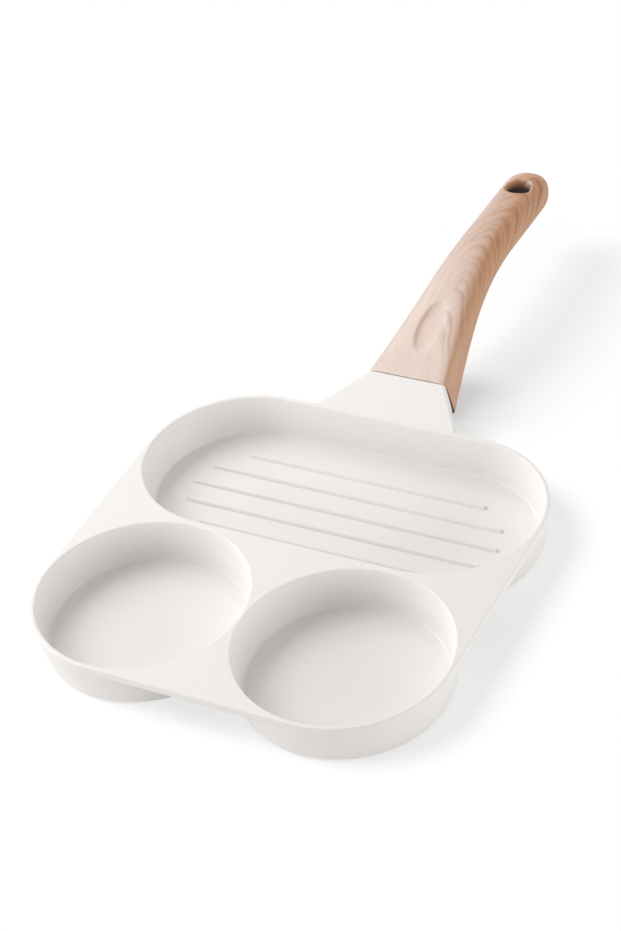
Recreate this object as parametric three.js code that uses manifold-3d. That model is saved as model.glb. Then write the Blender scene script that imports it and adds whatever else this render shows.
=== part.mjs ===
// A divided breakfast pan. One casting holds two egg cups, a ribbed grill well, a flared neck and a tang.
// Steel plates are pressed into its base, and a moulded handle is held on the tang by one screw.
// Millimetres, +Z up. +Y points along the handle and +X to the right.
// The origin is the centre of the grill plate's underside, where the pan stands on the hob.

import * as THREE from 'three';
import { LoftGeometry } from 'three/addons/geometries/LoftGeometry.js';
import { mergeVertices } from 'three/addons/utils/BufferGeometryUtils.js';
import Module from 'manifold-3d';

const wasm = await Module();
wasm.setup();

// Wells, measured at their mouths
const CUP_RADIUS = 50;
const CUP_LAND = 2; // deck between the two egg cups
const GRILL_RADIUS = 49.5; // round ends of the grill well
const GRILL_STRAIGHT = 105; // straight side between its round ends
const ROW_LAND = 3.3; // deck between the grill well and the egg cups
const WELL_DEPTH = 20;
const WALL_DRAFT = 9; // degrees that the walls lean outwards
const FLOOR_ROUND = 3; // fillet between wall and floor
const RIM_ROUND = 0.7; // rounding of each mouth's edge

// Casting
const WALL_THICKNESS = 2.2;
const FLOOR_THICKNESS = 3.2;
const BASE_ROUND = 3; // rounding between wall and underside
const DECK_THICKNESS = 2.6;
const LIP_HEIGHT = 4; // turned-down edge round the deck
const LIP_WIDTH = 3;
const EDGE_ROUND = 0.7; // rounding of the lip's edges

// Raised ribs on the grill well's floor
const RIB_PITCH = 13.5;
const RIB_WIDTH = 2.6;
const RIB_HEIGHT = 1.5;
const RIB_ROUND = 0.4; // rounding of a rib's top edge
const RIB_MARGIN = 19.8; // from the well's mouth to the ribs' ends
const RIB_SHIFT = 2; // how far the ribs lie from the well's middle, towards the egg cups

// Steel plates pressed into the base
const PLATE_THICKNESS = 1.2;
const PLATE_PROUD = 0.3; // how far the plates stand below the casting
const PLATE_MARGIN = 3; // from the edge of the flat underside
const PLATE_HOLE_RADIUS = 2.5;
const PLATE_HOLE_PITCH = 20;
const PLATE_HOLE_MARGIN = 5; // from the plate's edge to the nearest hole's centre

// Neck and joint
const NECK_LENGTH = 27.5; // from the deck's back edge to the handle, along the top
const NECK_RISE = 5.4;
const NECK_ROOT_WIDTH = 78;
const NECK_ROOT_THICKNESS = 15;
const NECK_SINK = 5; // how far the neck runs into the grill well's wall
const NECK_ROUND = 2; // rounding of the neck's long edges
const NECK_TUCK = 3; // how far each side leans in towards the underside
const JOINT_WIDTH = 43.2;
const JOINT_THICKNESS = 24;
const JOINT_BELLY = 3; // extra depth of the handle's end below
const JOINT_SLOPE = 19; // degrees that the handle climbs at the joint
const JOINT_SQUARENESS = 10;
const JOINT_STEP = 0.5; // how far the handle's end stands out round the neck
const SEAM = 0.5; // open joint line between neck and handle

// Handle, along its curved centre line
const HANDLE_LENGTH = 174;
const RAMP_LENGTH = 47.6; // straight climb from the joint
const ARCH_RADIUS = 166;
const TAIL_DROP = 2; // degrees that the tail falls
const TAPER_LENGTH = 120; // from the joint to the full grip section
const GRIP_WIDTH = 25;
const GRIP_THICKNESS = 21;
const GRIP_SQUARENESS = 2.4;
const TIP_LENGTH = 17; // rounded end
const TIP_SQUARENESS = 2.1;

// Thumb rest on the handle's top
const THUMB_REACH = 33; // from the joint to its middle
const THUMB_LENGTH = 34;
const THUMB_WIDTH = 13.5;
const THUMB_DEPTH = 1.2;
const THUMB_BOWL = 6; // height of the ellipsoid that scoops it

// Hang hole near the handle's tip
const HANG_INSET = 24; // from the tip to the hole's centre
const HANG_WIDTH = 12.6;
const HANG_LENGTH = 14;
const HANG_ROUND = 1.2;

// Tang and the screw that holds the handle on it
const TANG_WIDTH = 24;
const TANG_THICKNESS = 7;
const TANG_LENGTH = 34;
const TANG_RISE = 2; // above the handle's centre line
const TANG_ROUND = 1.5;
const SCREW_REACH = 16; // from the joint to the screw
const SCREW_RADIUS = 2.5;
const SCREW_LENGTH = 12;
const HEAD_RADIUS = 4.75;
const HEAD_HEIGHT = 3.6;
const RECESS_SPAN = 5; // cross recess in the head
const RECESS_WIDTH = 1.2;
const RECESS_DEPTH = 2;
const WASHER_BORE = 2.65; // radius
const WASHER_RADIUS = 5;
const WASHER_THICKNESS = 1;
const LOCK_RADIUS = 4.6;
const LOCK_THICKNESS = 1.2;
const LOCK_SPLIT = 20; // degrees that the spring washer is open
const COUNTERBORE_CLEARANCE = 0.8;
const SEAT_THICKNESS = 2.5; // handle wall between the mortise and the washer

// Clearances and facets
const FIT_GAP = 0.3;
const OVERCUT = 1; // how far a cutter runs past what it cuts
const WELL_SIDES = 52;
const RIB_SIDES = 12;
const HANDLE_SIDES = 32;
const HANDLE_STEPS = 20;
const TIP_STEPS = 6;
const TIP_STOP = 0.5; // share of the last step that stays flat at the very tip
const ROUND_STEPS = 3;
const EDGE_STEPS = 2;
const ARC_STEPS = 8;
const SCREW_SIDES = 24;
const HOLE_SIDES = 8;

// Heights and centres that follow from the sizes
const BASE_Z = PLATE_PROUD;
const FLOOR_Z = BASE_Z + FLOOR_THICKNESS;
const RIM_Z = FLOOR_Z + WELL_DEPTH;
const CUP_X = CUP_RADIUS + CUP_LAND / 2;
const CUP_Y = -(GRILL_RADIUS + ROW_LAND + CUP_RADIUS);
const GRILL_X = GRILL_STRAIGHT / 2;
const DECK_BACK = GRILL_RADIUS + WALL_THICKNESS;
const DRAFT = THREE.MathUtils.degToRad(WALL_DRAFT);
const SLOPE = THREE.MathUtils.degToRad(JOINT_SLOPE);
const DROP = THREE.MathUtils.degToRad(TAIL_DROP);
const JOINT = new THREE.Vector3(
  0,
  DECK_BACK + NECK_LENGTH + JOINT_THICKNESS / 2 * Math.sin(SLOPE),
  RIM_Z + NECK_RISE - JOINT_THICKNESS / 2 * Math.cos(SLOPE),
);
const WELLS = [
  { plate: 'induction_disc_left', x: -CUP_X, y: CUP_Y, straight: 0, radius: CUP_RADIUS },
  { plate: 'induction_disc_right', x: CUP_X, y: CUP_Y, straight: 0, radius: CUP_RADIUS },
  { plate: 'induction_plate_grill', x: 0, y: 0, straight: GRILL_STRAIGHT, radius: GRILL_RADIUS },
];

// A closed geometry becomes a solid that can be joined and cut.
function toSolid(geometry) {
  const bare = new THREE.BufferGeometry().copy(geometry);
  bare.deleteAttribute('normal');
  bare.deleteAttribute('uv');
  const merged = mergeVertices(bare);
  return new wasm.Manifold(new wasm.Mesh({
    numProp: 3,
    vertProperties: new Float32Array(merged.attributes.position.array),
    triVerts: new Uint32Array(merged.index.array),
  }));
}

// A solid becomes a geometry again.
function toGeometry(solid) {
  const mesh = solid.getMesh();
  const geometry = new THREE.BufferGeometry();
  geometry.setAttribute('position', new THREE.BufferAttribute(new Float32Array(mesh.vertProperties), 3));
  geometry.setIndex(new THREE.BufferAttribute(new Uint32Array(mesh.triVerts), 1));
  geometry.computeVertexNormals();
  return geometry;
}

// A ring of points round a straight-sided outline with round ends, or a circle where the straight is zero.
function stadiumRing(straight, radius, z, sides) {
  return Array.from({ length: sides }, (_, side) => {
    const angle = (side + 0.5) / sides * 2 * Math.PI;
    const end = Math.sign(Math.cos(angle)) * straight / 2;
    return new THREE.Vector3(end + radius * Math.cos(angle), radius * Math.sin(angle), z);
  });
}

// A solid lofted upwards through such rings. The profile lists radius and height from the bottom.
function stadiumLoft(straight, profile, sides) {
  const rings = profile.map((point) => stadiumRing(straight, point.x, point.y, sides));
  return new LoftGeometry(rings, { capStart: true, capEnd: true });
}

// The profile of a drafted tub, from the edge of its flat bottom, round the fillet and up to its mouth.
function tubProfile(mouthRadius, mouthZ, bottomZ, bottomRound) {
  const centreZ = bottomZ + bottomRound;
  const tangentZ = centreZ - bottomRound * Math.sin(DRAFT);
  const tangentRadius = mouthRadius - (mouthZ - tangentZ) * Math.tan(DRAFT);
  const centreRadius = tangentRadius - bottomRound * Math.cos(DRAFT);
  const profile = [];
  for (let step = 0; step <= ROUND_STEPS; step += 1) {
    const angle = THREE.MathUtils.lerp(-Math.PI / 2, -DRAFT, step / ROUND_STEPS);
    const radius = centreRadius + bottomRound * Math.cos(angle);
    profile.push(new THREE.Vector2(radius, centreZ + bottomRound * Math.sin(angle)));
  }
  profile.push(new THREE.Vector2(mouthRadius, mouthZ));
  return profile;
}

// The outside of a well's wall, ending inside the deck.
function outerProfile(well) {
  return tubProfile(well.radius + WALL_THICKNESS, RIM_Z - DECK_THICKNESS / 2, BASE_Z, BASE_ROUND);
}

// The hollow of a well, with its mouth's edge rounded, running out past the rim.
function hollowProfile(well) {
  const profile = tubProfile(well.radius, RIM_Z - RIM_ROUND, FLOOR_Z, FLOOR_ROUND);
  for (let step = 1; step <= ROUND_STEPS; step += 1) {
    const angle = step / ROUND_STEPS * Math.PI / 2;
    const radius = well.radius + RIM_ROUND * (1 - Math.cos(angle));
    profile.push(new THREE.Vector2(radius, RIM_Z - RIM_ROUND * (1 - Math.sin(angle))));
  }
  profile.push(new THREE.Vector2(well.radius + RIM_ROUND, RIM_Z + OVERCUT));
  return profile;
}

// The outline of a belt pulled tight round circles that are listed anticlockwise.
function beltShape(circles) {
  const tangentAngle = (from, to) => {
    const across = new THREE.Vector2(to.x - from.x, to.y - from.y);
    const lean = Math.asin((from.radius - to.radius) / across.length());
    return across.angle() - Math.PI / 2 + lean;
  };
  const shape = new THREE.Shape();
  circles.forEach((circle, index) => {
    const before = circles.at(index - 1);
    const after = circles[(index + 1) % circles.length];
    const start = tangentAngle(before, circle);
    const end = tangentAngle(circle, after);
    shape.absarc(circle.x, circle.y, circle.radius, start, end, false);
  });
  return shape;
}

// The deck's outline, drawn in from its edge by an inset.
function deckShape(inset) {
  const cupEdge = CUP_RADIUS + WALL_THICKNESS - inset;
  const grillEdge = GRILL_RADIUS + WALL_THICKNESS - inset;
  return beltShape([
    { x: -CUP_X, y: CUP_Y, radius: cupEdge },
    { x: CUP_X, y: CUP_Y, radius: cupEdge },
    { x: GRILL_X, y: 0, radius: grillEdge },
    { x: -GRILL_X, y: 0, radius: grillEdge },
  ]);
}

// The flat deck with its turned-down lip.
function deckSolid() {
  const slab = new THREE.ExtrudeGeometry(deckShape(0), {
    depth: LIP_HEIGHT - 2 * EDGE_ROUND,
    curveSegments: ARC_STEPS,
    bevelThickness: EDGE_ROUND,
    bevelSize: EDGE_ROUND,
    bevelOffset: -EDGE_ROUND,
    bevelSegments: EDGE_STEPS,
  });
  slab.translate(0, 0, RIM_Z - LIP_HEIGHT + EDGE_ROUND);
  const recess = new THREE.ExtrudeGeometry(deckShape(LIP_WIDTH), {
    depth: LIP_HEIGHT - DECK_THICKNESS + OVERCUT,
    curveSegments: ARC_STEPS,
    bevelEnabled: false,
  });
  recess.translate(0, 0, RIM_Z - LIP_HEIGHT - OVERCUT);
  return toSolid(slab).subtract(toSolid(recess));
}

// The raised ribs, each with round ends, as many as fit at their pitch.
function ribSolids() {
  const reach = GRILL_RADIUS - RIB_MARGIN;
  const pairs = Math.floor(reach / RIB_PITCH);
  const ribs = [];
  for (let row = -pairs; row <= pairs; row += 1) {
    const offset = row * RIB_PITCH;
    const length = GRILL_STRAIGHT + 2 * Math.sqrt(reach ** 2 - offset ** 2);
    const rib = stadiumLoft(length - RIB_WIDTH, [
      new THREE.Vector2(RIB_WIDTH / 2, FLOOR_Z - FLOOR_THICKNESS / 2),
      new THREE.Vector2(RIB_WIDTH / 2, FLOOR_Z + RIB_HEIGHT - RIB_ROUND),
      new THREE.Vector2(RIB_WIDTH / 2 - RIB_ROUND, FLOOR_Z + RIB_HEIGHT),
    ], RIB_SIDES);
    ribs.push(toSolid(rib.translate(0, offset - RIB_SHIFT, 0)));
  }
  return ribs;
}

// The flat underside of a well, less the margin round its plate.
function plateRadius(well) {
  return outerProfile(well)[0].x - PLATE_MARGIN;
}

// A steel plate with rows of holes, set so that none falls on the plate's centre.
function plateGeometry(well) {
  const radius = plateRadius(well);
  const half = well.straight / 2;
  const shape = new THREE.Shape(stadiumRing(well.straight, radius, 0, WELL_SIDES));
  const rowPitch = PLATE_HOLE_PITCH * Math.sin(Math.PI / 3);
  const rows = Math.ceil(radius / rowPitch);
  const columns = Math.ceil((half + radius) / PLATE_HOLE_PITCH);
  for (let row = -rows; row <= rows; row += 1) {
    for (let column = -columns; column <= columns; column += 1) {
      const x = (column + (row % 2 === 0 ? 0.5 : 0)) * PLATE_HOLE_PITCH;
      const y = row * rowPitch;
      const pastStraight = Math.max(Math.abs(x) - half, 0);
      if (Math.hypot(pastStraight, y) <= radius - PLATE_HOLE_MARGIN) {
        const centre = new THREE.Vector3(x, y, 0);
        const hole = stadiumRing(0, PLATE_HOLE_RADIUS, 0, HOLE_SIDES);
        shape.holes.push(new THREE.Path(hole.map((point) => point.add(centre))));
      }
    }
  }
  return new THREE.ExtrudeGeometry(shape, { depth: PLATE_THICKNESS, bevelEnabled: false });
}

// The pocket that a plate is pressed into.
function plateSocket(well) {
  const radius = plateRadius(well) + FIT_GAP;
  const socket = stadiumLoft(well.straight, [
    new THREE.Vector2(radius, BASE_Z - OVERCUT),
    new THREE.Vector2(radius, PLATE_THICKNESS),
  ], WELL_SIDES);
  return toSolid(socket.translate(well.x, well.y, 0));
}

// A rounded section square to the handle's centre line.
function sectionRing(centre, slope, { width, thickness, belly, squareness }, shrink) {
  const power = 2 / squareness;
  const bow = (value) => Math.sign(value) * Math.abs(value) ** power;
  const turn = new THREE.Matrix4().makeRotationX(slope);
  return Array.from({ length: HANDLE_SIDES }, (_, side) => {
    const angle = (side + 0.5) / HANDLE_SIDES * 2 * Math.PI;
    const across = -width / 2 * bow(Math.cos(angle));
    const depth = thickness / 2 + (angle > Math.PI ? belly : 0);
    const point = new THREE.Vector3(across, 0, depth * bow(Math.sin(angle)));
    return point.multiplyScalar(shrink).applyMatrix4(turn).add(centre);
  });
}

// A flat-topped section of the neck, with rounded corners and sides that lean in below.
function neckRing(centre, slope, width, thickness) {
  const corner = (sideX, sideY, tuck) => ({
    x: sideX * (width / 2 - tuck - NECK_ROUND),
    y: sideY * (thickness / 2 - NECK_ROUND),
    radius: NECK_ROUND,
  });
  const low = [corner(-1, -1, NECK_TUCK), corner(1, -1, NECK_TUCK)];
  const high = [corner(1, 1, 0), corner(-1, 1, 0)];
  const turn = new THREE.Matrix4().makeRotationX(slope);
  return beltShape([...low, ...high]).getPoints(ROUND_STEPS).map((point) => {
    return new THREE.Vector3(-point.x, 0, point.y).applyMatrix4(turn).add(centre);
  });
}

// The flared neck between the grill well's wall and the joint.
function neckSolid() {
  const climb = NECK_RISE / NECK_LENGTH;
  const flare = (NECK_ROOT_WIDTH - JOINT_WIDTH) / NECK_LENGTH;
  const rootTop = RIM_Z - NECK_SINK * climb;
  const rootCentre = new THREE.Vector3(0, DECK_BACK - NECK_SINK, rootTop - NECK_ROOT_THICKNESS / 2);
  const rootWidth = NECK_ROOT_WIDTH + NECK_SINK * flare;
  const endWidth = JOINT_WIDTH - 2 * JOINT_STEP;
  const endThickness = JOINT_THICKNESS - 2 * JOINT_STEP;
  return toSolid(new LoftGeometry([
    neckRing(rootCentre, 0, rootWidth, NECK_ROOT_THICKNESS),
    neckRing(JOINT, SLOPE, endWidth, endThickness),
  ], { capStart: true, capEnd: true }));
}

// Places a geometry made at the joint, where Y runs along the handle and Z stands square to it.
function atJoint(geometry) {
  const place = new THREE.Matrix4().makeRotationX(SLOPE).setPosition(JOINT);
  return geometry.applyMatrix4(place);
}

// The tang, or with a clearance the mortise for it, from a start to an end along the handle.
function tangSolid(start, end, clearance) {
  const halfWidth = TANG_WIDTH / 2 + clearance;
  const halfThickness = TANG_THICKNESS / 2 + clearance;
  const corner = (sideX, sideY) => ({
    x: sideX * (halfWidth - TANG_ROUND),
    y: sideY * (halfThickness - TANG_ROUND),
    radius: TANG_ROUND,
  });
  const shape = beltShape([corner(-1, -1), corner(1, -1), corner(1, 1), corner(-1, 1)]);
  const bar = new THREE.ExtrudeGeometry(shape, {
    depth: end - start,
    curveSegments: EDGE_STEPS,
    bevelEnabled: false,
  });
  bar.rotateX(Math.PI / 2).translate(0, end, TANG_RISE);
  return toSolid(atJoint(bar));
}

// A round hole square to the handle at the screw, between two heights.
function screwHole(radius, low, high) {
  const hole = new THREE.CylinderGeometry(radius, radius, high - low, SCREW_SIDES);
  hole.rotateX(Math.PI / 2).translate(0, SCREW_REACH, (low + high) / 2);
  return toSolid(atJoint(hole));
}

// The whole casting.
function panBodyGeometry() {
  let body = deckSolid().add(neckSolid());
  for (const well of WELLS) {
    const tub = stadiumLoft(well.straight, outerProfile(well), WELL_SIDES);
    body = body.add(toSolid(tub.translate(well.x, well.y, 0)));
  }
  for (const well of WELLS) {
    const hollow = stadiumLoft(well.straight, hollowProfile(well), WELL_SIDES);
    body = body.subtract(toSolid(hollow.translate(well.x, well.y, 0))).subtract(plateSocket(well));
  }
  for (const rib of ribSolids()) {
    body = body.add(rib);
  }
  const tappedRadius = SCREW_RADIUS + FIT_GAP;
  const tappedReach = TANG_RISE + TANG_THICKNESS + OVERCUT;
  body = body.add(tangSolid(-NECK_SINK, TANG_LENGTH, 0));
  return toGeometry(body.subtract(screwHole(tappedRadius, -tappedReach, tappedReach)));
}

// A point on the handle's centre line, and its slope there: a straight climb, an arch and a falling tail.
function spineAt(along) {
  const archLength = ARCH_RADIUS * (SLOPE + DROP);
  const ramp = Math.min(along, RAMP_LENGTH);
  const arch = THREE.MathUtils.clamp(along - RAMP_LENGTH, 0, archLength);
  const tail = Math.max(along - RAMP_LENGTH - archLength, 0);
  const slope = SLOPE - arch / ARCH_RADIUS;
  const archRun = ARCH_RADIUS * (Math.sin(SLOPE) - Math.sin(slope));
  const archRise = ARCH_RADIUS * (Math.cos(slope) - Math.cos(SLOPE));
  const run = ramp * Math.cos(SLOPE) + archRun + tail * Math.cos(DROP);
  const rise = ramp * Math.sin(SLOPE) + archRise - tail * Math.sin(DROP);
  return { slope, centre: new THREE.Vector3(0, run, rise).add(JOINT) };
}

// The handle's section at a place along it, eased from the joint's section to the grip's.
function gripSection(along) {
  const ease = (1 - Math.min(along / TAPER_LENGTH, 1)) ** 2;
  return {
    width: THREE.MathUtils.lerp(GRIP_WIDTH, JOINT_WIDTH, ease),
    thickness: THREE.MathUtils.lerp(GRIP_THICKNESS, JOINT_THICKNESS, ease),
    belly: JOINT_BELLY * ease,
    squareness: THREE.MathUtils.lerp(GRIP_SQUARENESS, JOINT_SQUARENESS, ease ** 2),
  };
}

// The handle's outer form, with a rounded tip.
function handleForm() {
  const tipStart = HANDLE_LENGTH - TIP_LENGTH;
  const rings = [];
  const addRing = (along, shrink) => {
    const { slope, centre } = spineAt(along);
    rings.push(sectionRing(centre, slope, gripSection(along), shrink));
  };
  for (let step = 0; step <= HANDLE_STEPS; step += 1) {
    addRing(THREE.MathUtils.lerp(SEAM, tipStart, step / HANDLE_STEPS), 1);
  }
  for (let step = 1; step <= TIP_STEPS; step += 1) {
    const reach = Math.sin(step / (TIP_STEPS + TIP_STOP) * Math.PI / 2);
    addRing(tipStart + TIP_LENGTH * reach, (1 - reach ** TIP_SQUARENESS) ** (1 / TIP_SQUARENESS));
  }
  return toSolid(new LoftGeometry(rings, { capStart: true, capEnd: true }));
}

// The scoop that makes the thumb rest, an ellipsoid sunk to its depth in the handle's top.
function thumbScoop() {
  const { slope, centre } = spineAt(THUMB_REACH);
  const { thickness } = gripSection(THUMB_REACH);
  const spread = Math.sqrt(1 - (1 - THUMB_DEPTH / THUMB_BOWL) ** 2);
  const scoop = new THREE.SphereGeometry(1, HANDLE_SIDES, HANDLE_SIDES / 2);
  scoop.rotateX(Math.PI / 2);
  scoop.scale(THUMB_WIDTH / 2 / spread, THUMB_LENGTH / 2 / spread, THUMB_BOWL);
  scoop.translate(0, 0, thickness / 2 + THUMB_BOWL - THUMB_DEPTH);
  scoop.rotateX(slope).translate(centre.x, centre.y, centre.z);
  return toSolid(scoop);
}

// The cutter of the hang hole, flared at both mouths.
function hangCutter() {
  const along = HANDLE_LENGTH - HANG_INSET;
  const { slope, centre } = spineAt(along);
  const half = gripSection(along).thickness / 2;
  const radius = HANG_WIDTH / 2;
  const profile = [
    new THREE.Vector2(radius + HANG_ROUND + OVERCUT, -half - OVERCUT),
    new THREE.Vector2(radius, -half + HANG_ROUND),
    new THREE.Vector2(radius, half - HANG_ROUND),
    new THREE.Vector2(radius + HANG_ROUND + OVERCUT, half + OVERCUT),
  ];
  const cutter = stadiumLoft(HANG_LENGTH - HANG_WIDTH, profile, SCREW_SIDES);
  cutter.rotateZ(Math.PI / 2).rotateX(slope).translate(centre.x, centre.y, centre.z);
  return toSolid(cutter);
}

// The whole handle.
function handleGeometry() {
  const mortiseFloor = TANG_RISE - TANG_THICKNESS / 2 - FIT_GAP;
  const seat = mortiseFloor - SEAT_THICKNESS;
  const below = -JOINT_THICKNESS / 2 - JOINT_BELLY - OVERCUT;
  const mortise = tangSolid(-OVERCUT, TANG_LENGTH + FIT_GAP, FIT_GAP);
  const clearanceHole = screwHole(SCREW_RADIUS + FIT_GAP, below, TANG_RISE);
  const counterbore = screwHole(WASHER_RADIUS + COUNTERBORE_CLEARANCE, below, seat);
  let handle = handleForm().subtract(thumbScoop()).subtract(hangCutter());
  handle = handle.subtract(mortise).subtract(clearanceHole).subtract(counterbore);
  return toGeometry(handle);
}

// A flat ring, open by an angle where it is split.
function ringGeometry(bore, radius, thickness, split) {
  const shape = new THREE.Shape();
  const start = THREE.MathUtils.degToRad(split / 2);
  const end = 2 * Math.PI - start;
  shape.absarc(0, 0, radius, start, end, false);
  if (split > 0) {
    shape.absarc(0, 0, bore, end, start, true);
  } else {
    shape.holes.push(new THREE.Path().absarc(0, 0, bore, 0, 2 * Math.PI, true));
  }
  return new THREE.ExtrudeGeometry(shape, {
    depth: thickness,
    curveSegments: SCREW_SIDES / 2,
    bevelEnabled: false,
  });
}

// A pan-head screw that points up, with its head's flat face at height zero and a cross recess below.
function screwGeometry() {
  const head = [new THREE.Vector2(0, -HEAD_HEIGHT)];
  for (let step = 0; step <= ROUND_STEPS; step += 1) {
    const angle = step / ROUND_STEPS * Math.PI / 2;
    const radius = HEAD_RADIUS * (1 + Math.sin(angle)) / 2;
    head.push(new THREE.Vector2(radius, -HEAD_HEIGHT * (1 + Math.cos(angle)) / 2));
  }
  const profile = [
    ...head,
    new THREE.Vector2(HEAD_RADIUS, 0),
    new THREE.Vector2(SCREW_RADIUS, 0),
    new THREE.Vector2(SCREW_RADIUS, SCREW_LENGTH),
    new THREE.Vector2(0, SCREW_LENGTH),
  ];
  const turned = new THREE.LatheGeometry(profile, SCREW_SIDES).rotateX(Math.PI / 2);
  let screw = toSolid(turned);
  for (const quarter of [0, 1]) {
    const slot = new THREE.BoxGeometry(RECESS_SPAN, RECESS_WIDTH, RECESS_DEPTH + OVERCUT);
    slot.translate(0, 0, -HEAD_HEIGHT + (RECESS_DEPTH - OVERCUT) / 2);
    screw = screw.subtract(toSolid(slot.rotateZ(quarter * Math.PI / 2)));
  }
  return toGeometry(screw);
}

// Finishes
const creamCoating = { color: 0xeeeae6, roughness: 0.6, metalness: 0 };
const woodEffect = { color: 0xcda585, roughness: 0.5, metalness: 0 };
const steel = { color: 0xa8aaad, roughness: 0.35, metalness: 1 };

// A named sub-part with a material of its own.
function subPart(name, geometry, finish) {
  const mesh = new THREE.Mesh(geometry, new THREE.MeshStandardMaterial(finish));
  mesh.name = name;
  return mesh;
}

const pan = new THREE.Group();
pan.add(subPart('pan_body', panBodyGeometry(), creamCoating));
pan.add(subPart('handle_grip', handleGeometry(), woodEffect));

// Plates lie in their pockets, face to face with the casting.
for (const well of WELLS) {
  const plate = subPart(well.plate, plateGeometry(well), steel);
  plate.position.set(well.x, well.y, 0);
  pan.add(plate);
}

// The screw and its washers stand in the counterbore, square to the handle.
const fastening = new THREE.Group();
fastening.rotation.x = SLOPE;
fastening.position.copy(new THREE.Vector3(0, SCREW_REACH, 0).applyEuler(fastening.rotation)).add(JOINT);
const seatHeight = TANG_RISE - TANG_THICKNESS / 2 - FIT_GAP - SEAT_THICKNESS;
const washerRing = ringGeometry(WASHER_BORE, WASHER_RADIUS, WASHER_THICKNESS, 0);
const washer = subPart('flat_washer', washerRing, steel);
washer.position.z = seatHeight - FIT_GAP - WASHER_THICKNESS;
const lockRing = ringGeometry(WASHER_BORE, LOCK_RADIUS, LOCK_THICKNESS, LOCK_SPLIT);
const lock = subPart('lock_washer', lockRing, steel);
lock.position.z = washer.position.z - FIT_GAP - LOCK_THICKNESS;
const screw = subPart('handle_screw', screwGeometry(), steel);
screw.position.z = lock.position.z - FIT_GAP;
fastening.add(washer, lock, screw);
pan.add(fastening);

export default pan;
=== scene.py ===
"""A divided breakfast pan: a cream-coated casting, a wood-effect handle, steel base plates and one screw.

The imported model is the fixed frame. Metres, +Z up, +Y along the handle and +X to the right.
"""

import math
from typing import NamedTuple

import bmesh
import bpy
from mathutils import Matrix, Vector


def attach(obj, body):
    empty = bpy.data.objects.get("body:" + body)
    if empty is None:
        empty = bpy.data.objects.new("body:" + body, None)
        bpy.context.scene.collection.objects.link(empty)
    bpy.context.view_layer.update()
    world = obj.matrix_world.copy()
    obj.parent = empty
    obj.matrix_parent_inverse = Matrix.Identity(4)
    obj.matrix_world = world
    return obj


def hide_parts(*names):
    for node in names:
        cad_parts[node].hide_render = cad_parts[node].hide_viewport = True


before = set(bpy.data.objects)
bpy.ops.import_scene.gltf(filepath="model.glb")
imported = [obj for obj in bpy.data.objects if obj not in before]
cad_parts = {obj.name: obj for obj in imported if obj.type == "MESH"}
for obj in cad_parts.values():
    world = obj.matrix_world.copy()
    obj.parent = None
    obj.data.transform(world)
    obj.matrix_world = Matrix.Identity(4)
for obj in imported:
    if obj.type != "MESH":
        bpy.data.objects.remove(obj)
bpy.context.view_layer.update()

bl_info = {
    "name": "Divided Breakfast Pan",
    "version": (1, 0, 0),
    "blender": (4, 5, 0),
    "location": "View3D > Sidebar > Breakfast Pan",
    "description": "Models a divided breakfast pan round its packed frame",
    "category": "Add Mesh",
}

MM = 0.001
BODY = "root"
TOUCH = 0.02 * MM  # how close two points count as one place
WELD = 0.002 * MM  # how close two points are merged
OVERCUT = 1 * MM  # how far a cutter runs past what it cuts
SMOOTH_ANGLE = math.radians(32)  # sharper edges than this stay crisp
SHARP_ANGLE = math.radians(45)  # sharper edges than this are rounded on plates and washers
FLAT_ANGLE = math.radians(0.1)  # faces that differ by less become one

# How finely the surfaces are divided
WELL_SEGMENTS = 160
FILLET_SEGMENTS = 8
EDGE_SEGMENTS = 4
SMALL_EDGE_SEGMENTS = 2
RIB_SEGMENTS = 24
NECK_CUTS = 12
HANDLE_SIDES = 160
JOINT_RINGS = 4
GRIP_RINGS = 220
TIP_RINGS = 28
BORE_SEGMENTS = 48
HOLE_SEGMENTS = 28
RING_SEGMENTS = 64
THREAD_STEPS = 32


# Kinds of setting

def length(name, description, millimetres):
    """A length, given in millimetres."""
    return bpy.props.FloatProperty(
        name=name, description=description, default=millimetres * MM,
        precision=5, subtype="DISTANCE", unit="LENGTH",
    )


def angle(name, description, degrees):
    """An angle, given in degrees."""
    return bpy.props.FloatProperty(
        name=name, description=description, default=math.radians(degrees),
        subtype="ANGLE", unit="ROTATION",
    )


def watts(name, description, default):
    """The power of a lamp."""
    return bpy.props.FloatProperty(name=name, description=description, default=default, unit="POWER")


def fraction(name, description, default):
    """A share from 0 to 1."""
    return bpy.props.FloatProperty(
        name=name, description=description, default=default, min=0.0, max=1.0, subtype="FACTOR",
    )


def amount(name, description, default):
    """A plain number."""
    return bpy.props.FloatProperty(name=name, description=description, default=default)


def colour(name, description, default):
    """A colour."""
    return bpy.props.FloatVectorProperty(
        name=name, description=description, default=default,
        size=3, min=0.0, max=1.0, subtype="COLOR",
    )


def group_of(name, description, kind):
    """A group of settings."""
    return bpy.props.PointerProperty(name=name, description=description, type=kind)


class Well(NamedTuple):
    """A well of the casting: the plate under it, its centre, its sides' straight and its mouth's radius."""

    plate: str
    x: float
    y: float
    straight: float
    radius: float

    @property
    def place(self):
        """The frame at the well's centre."""
        return Matrix.Translation((self.x, self.y, 0.0))


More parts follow.
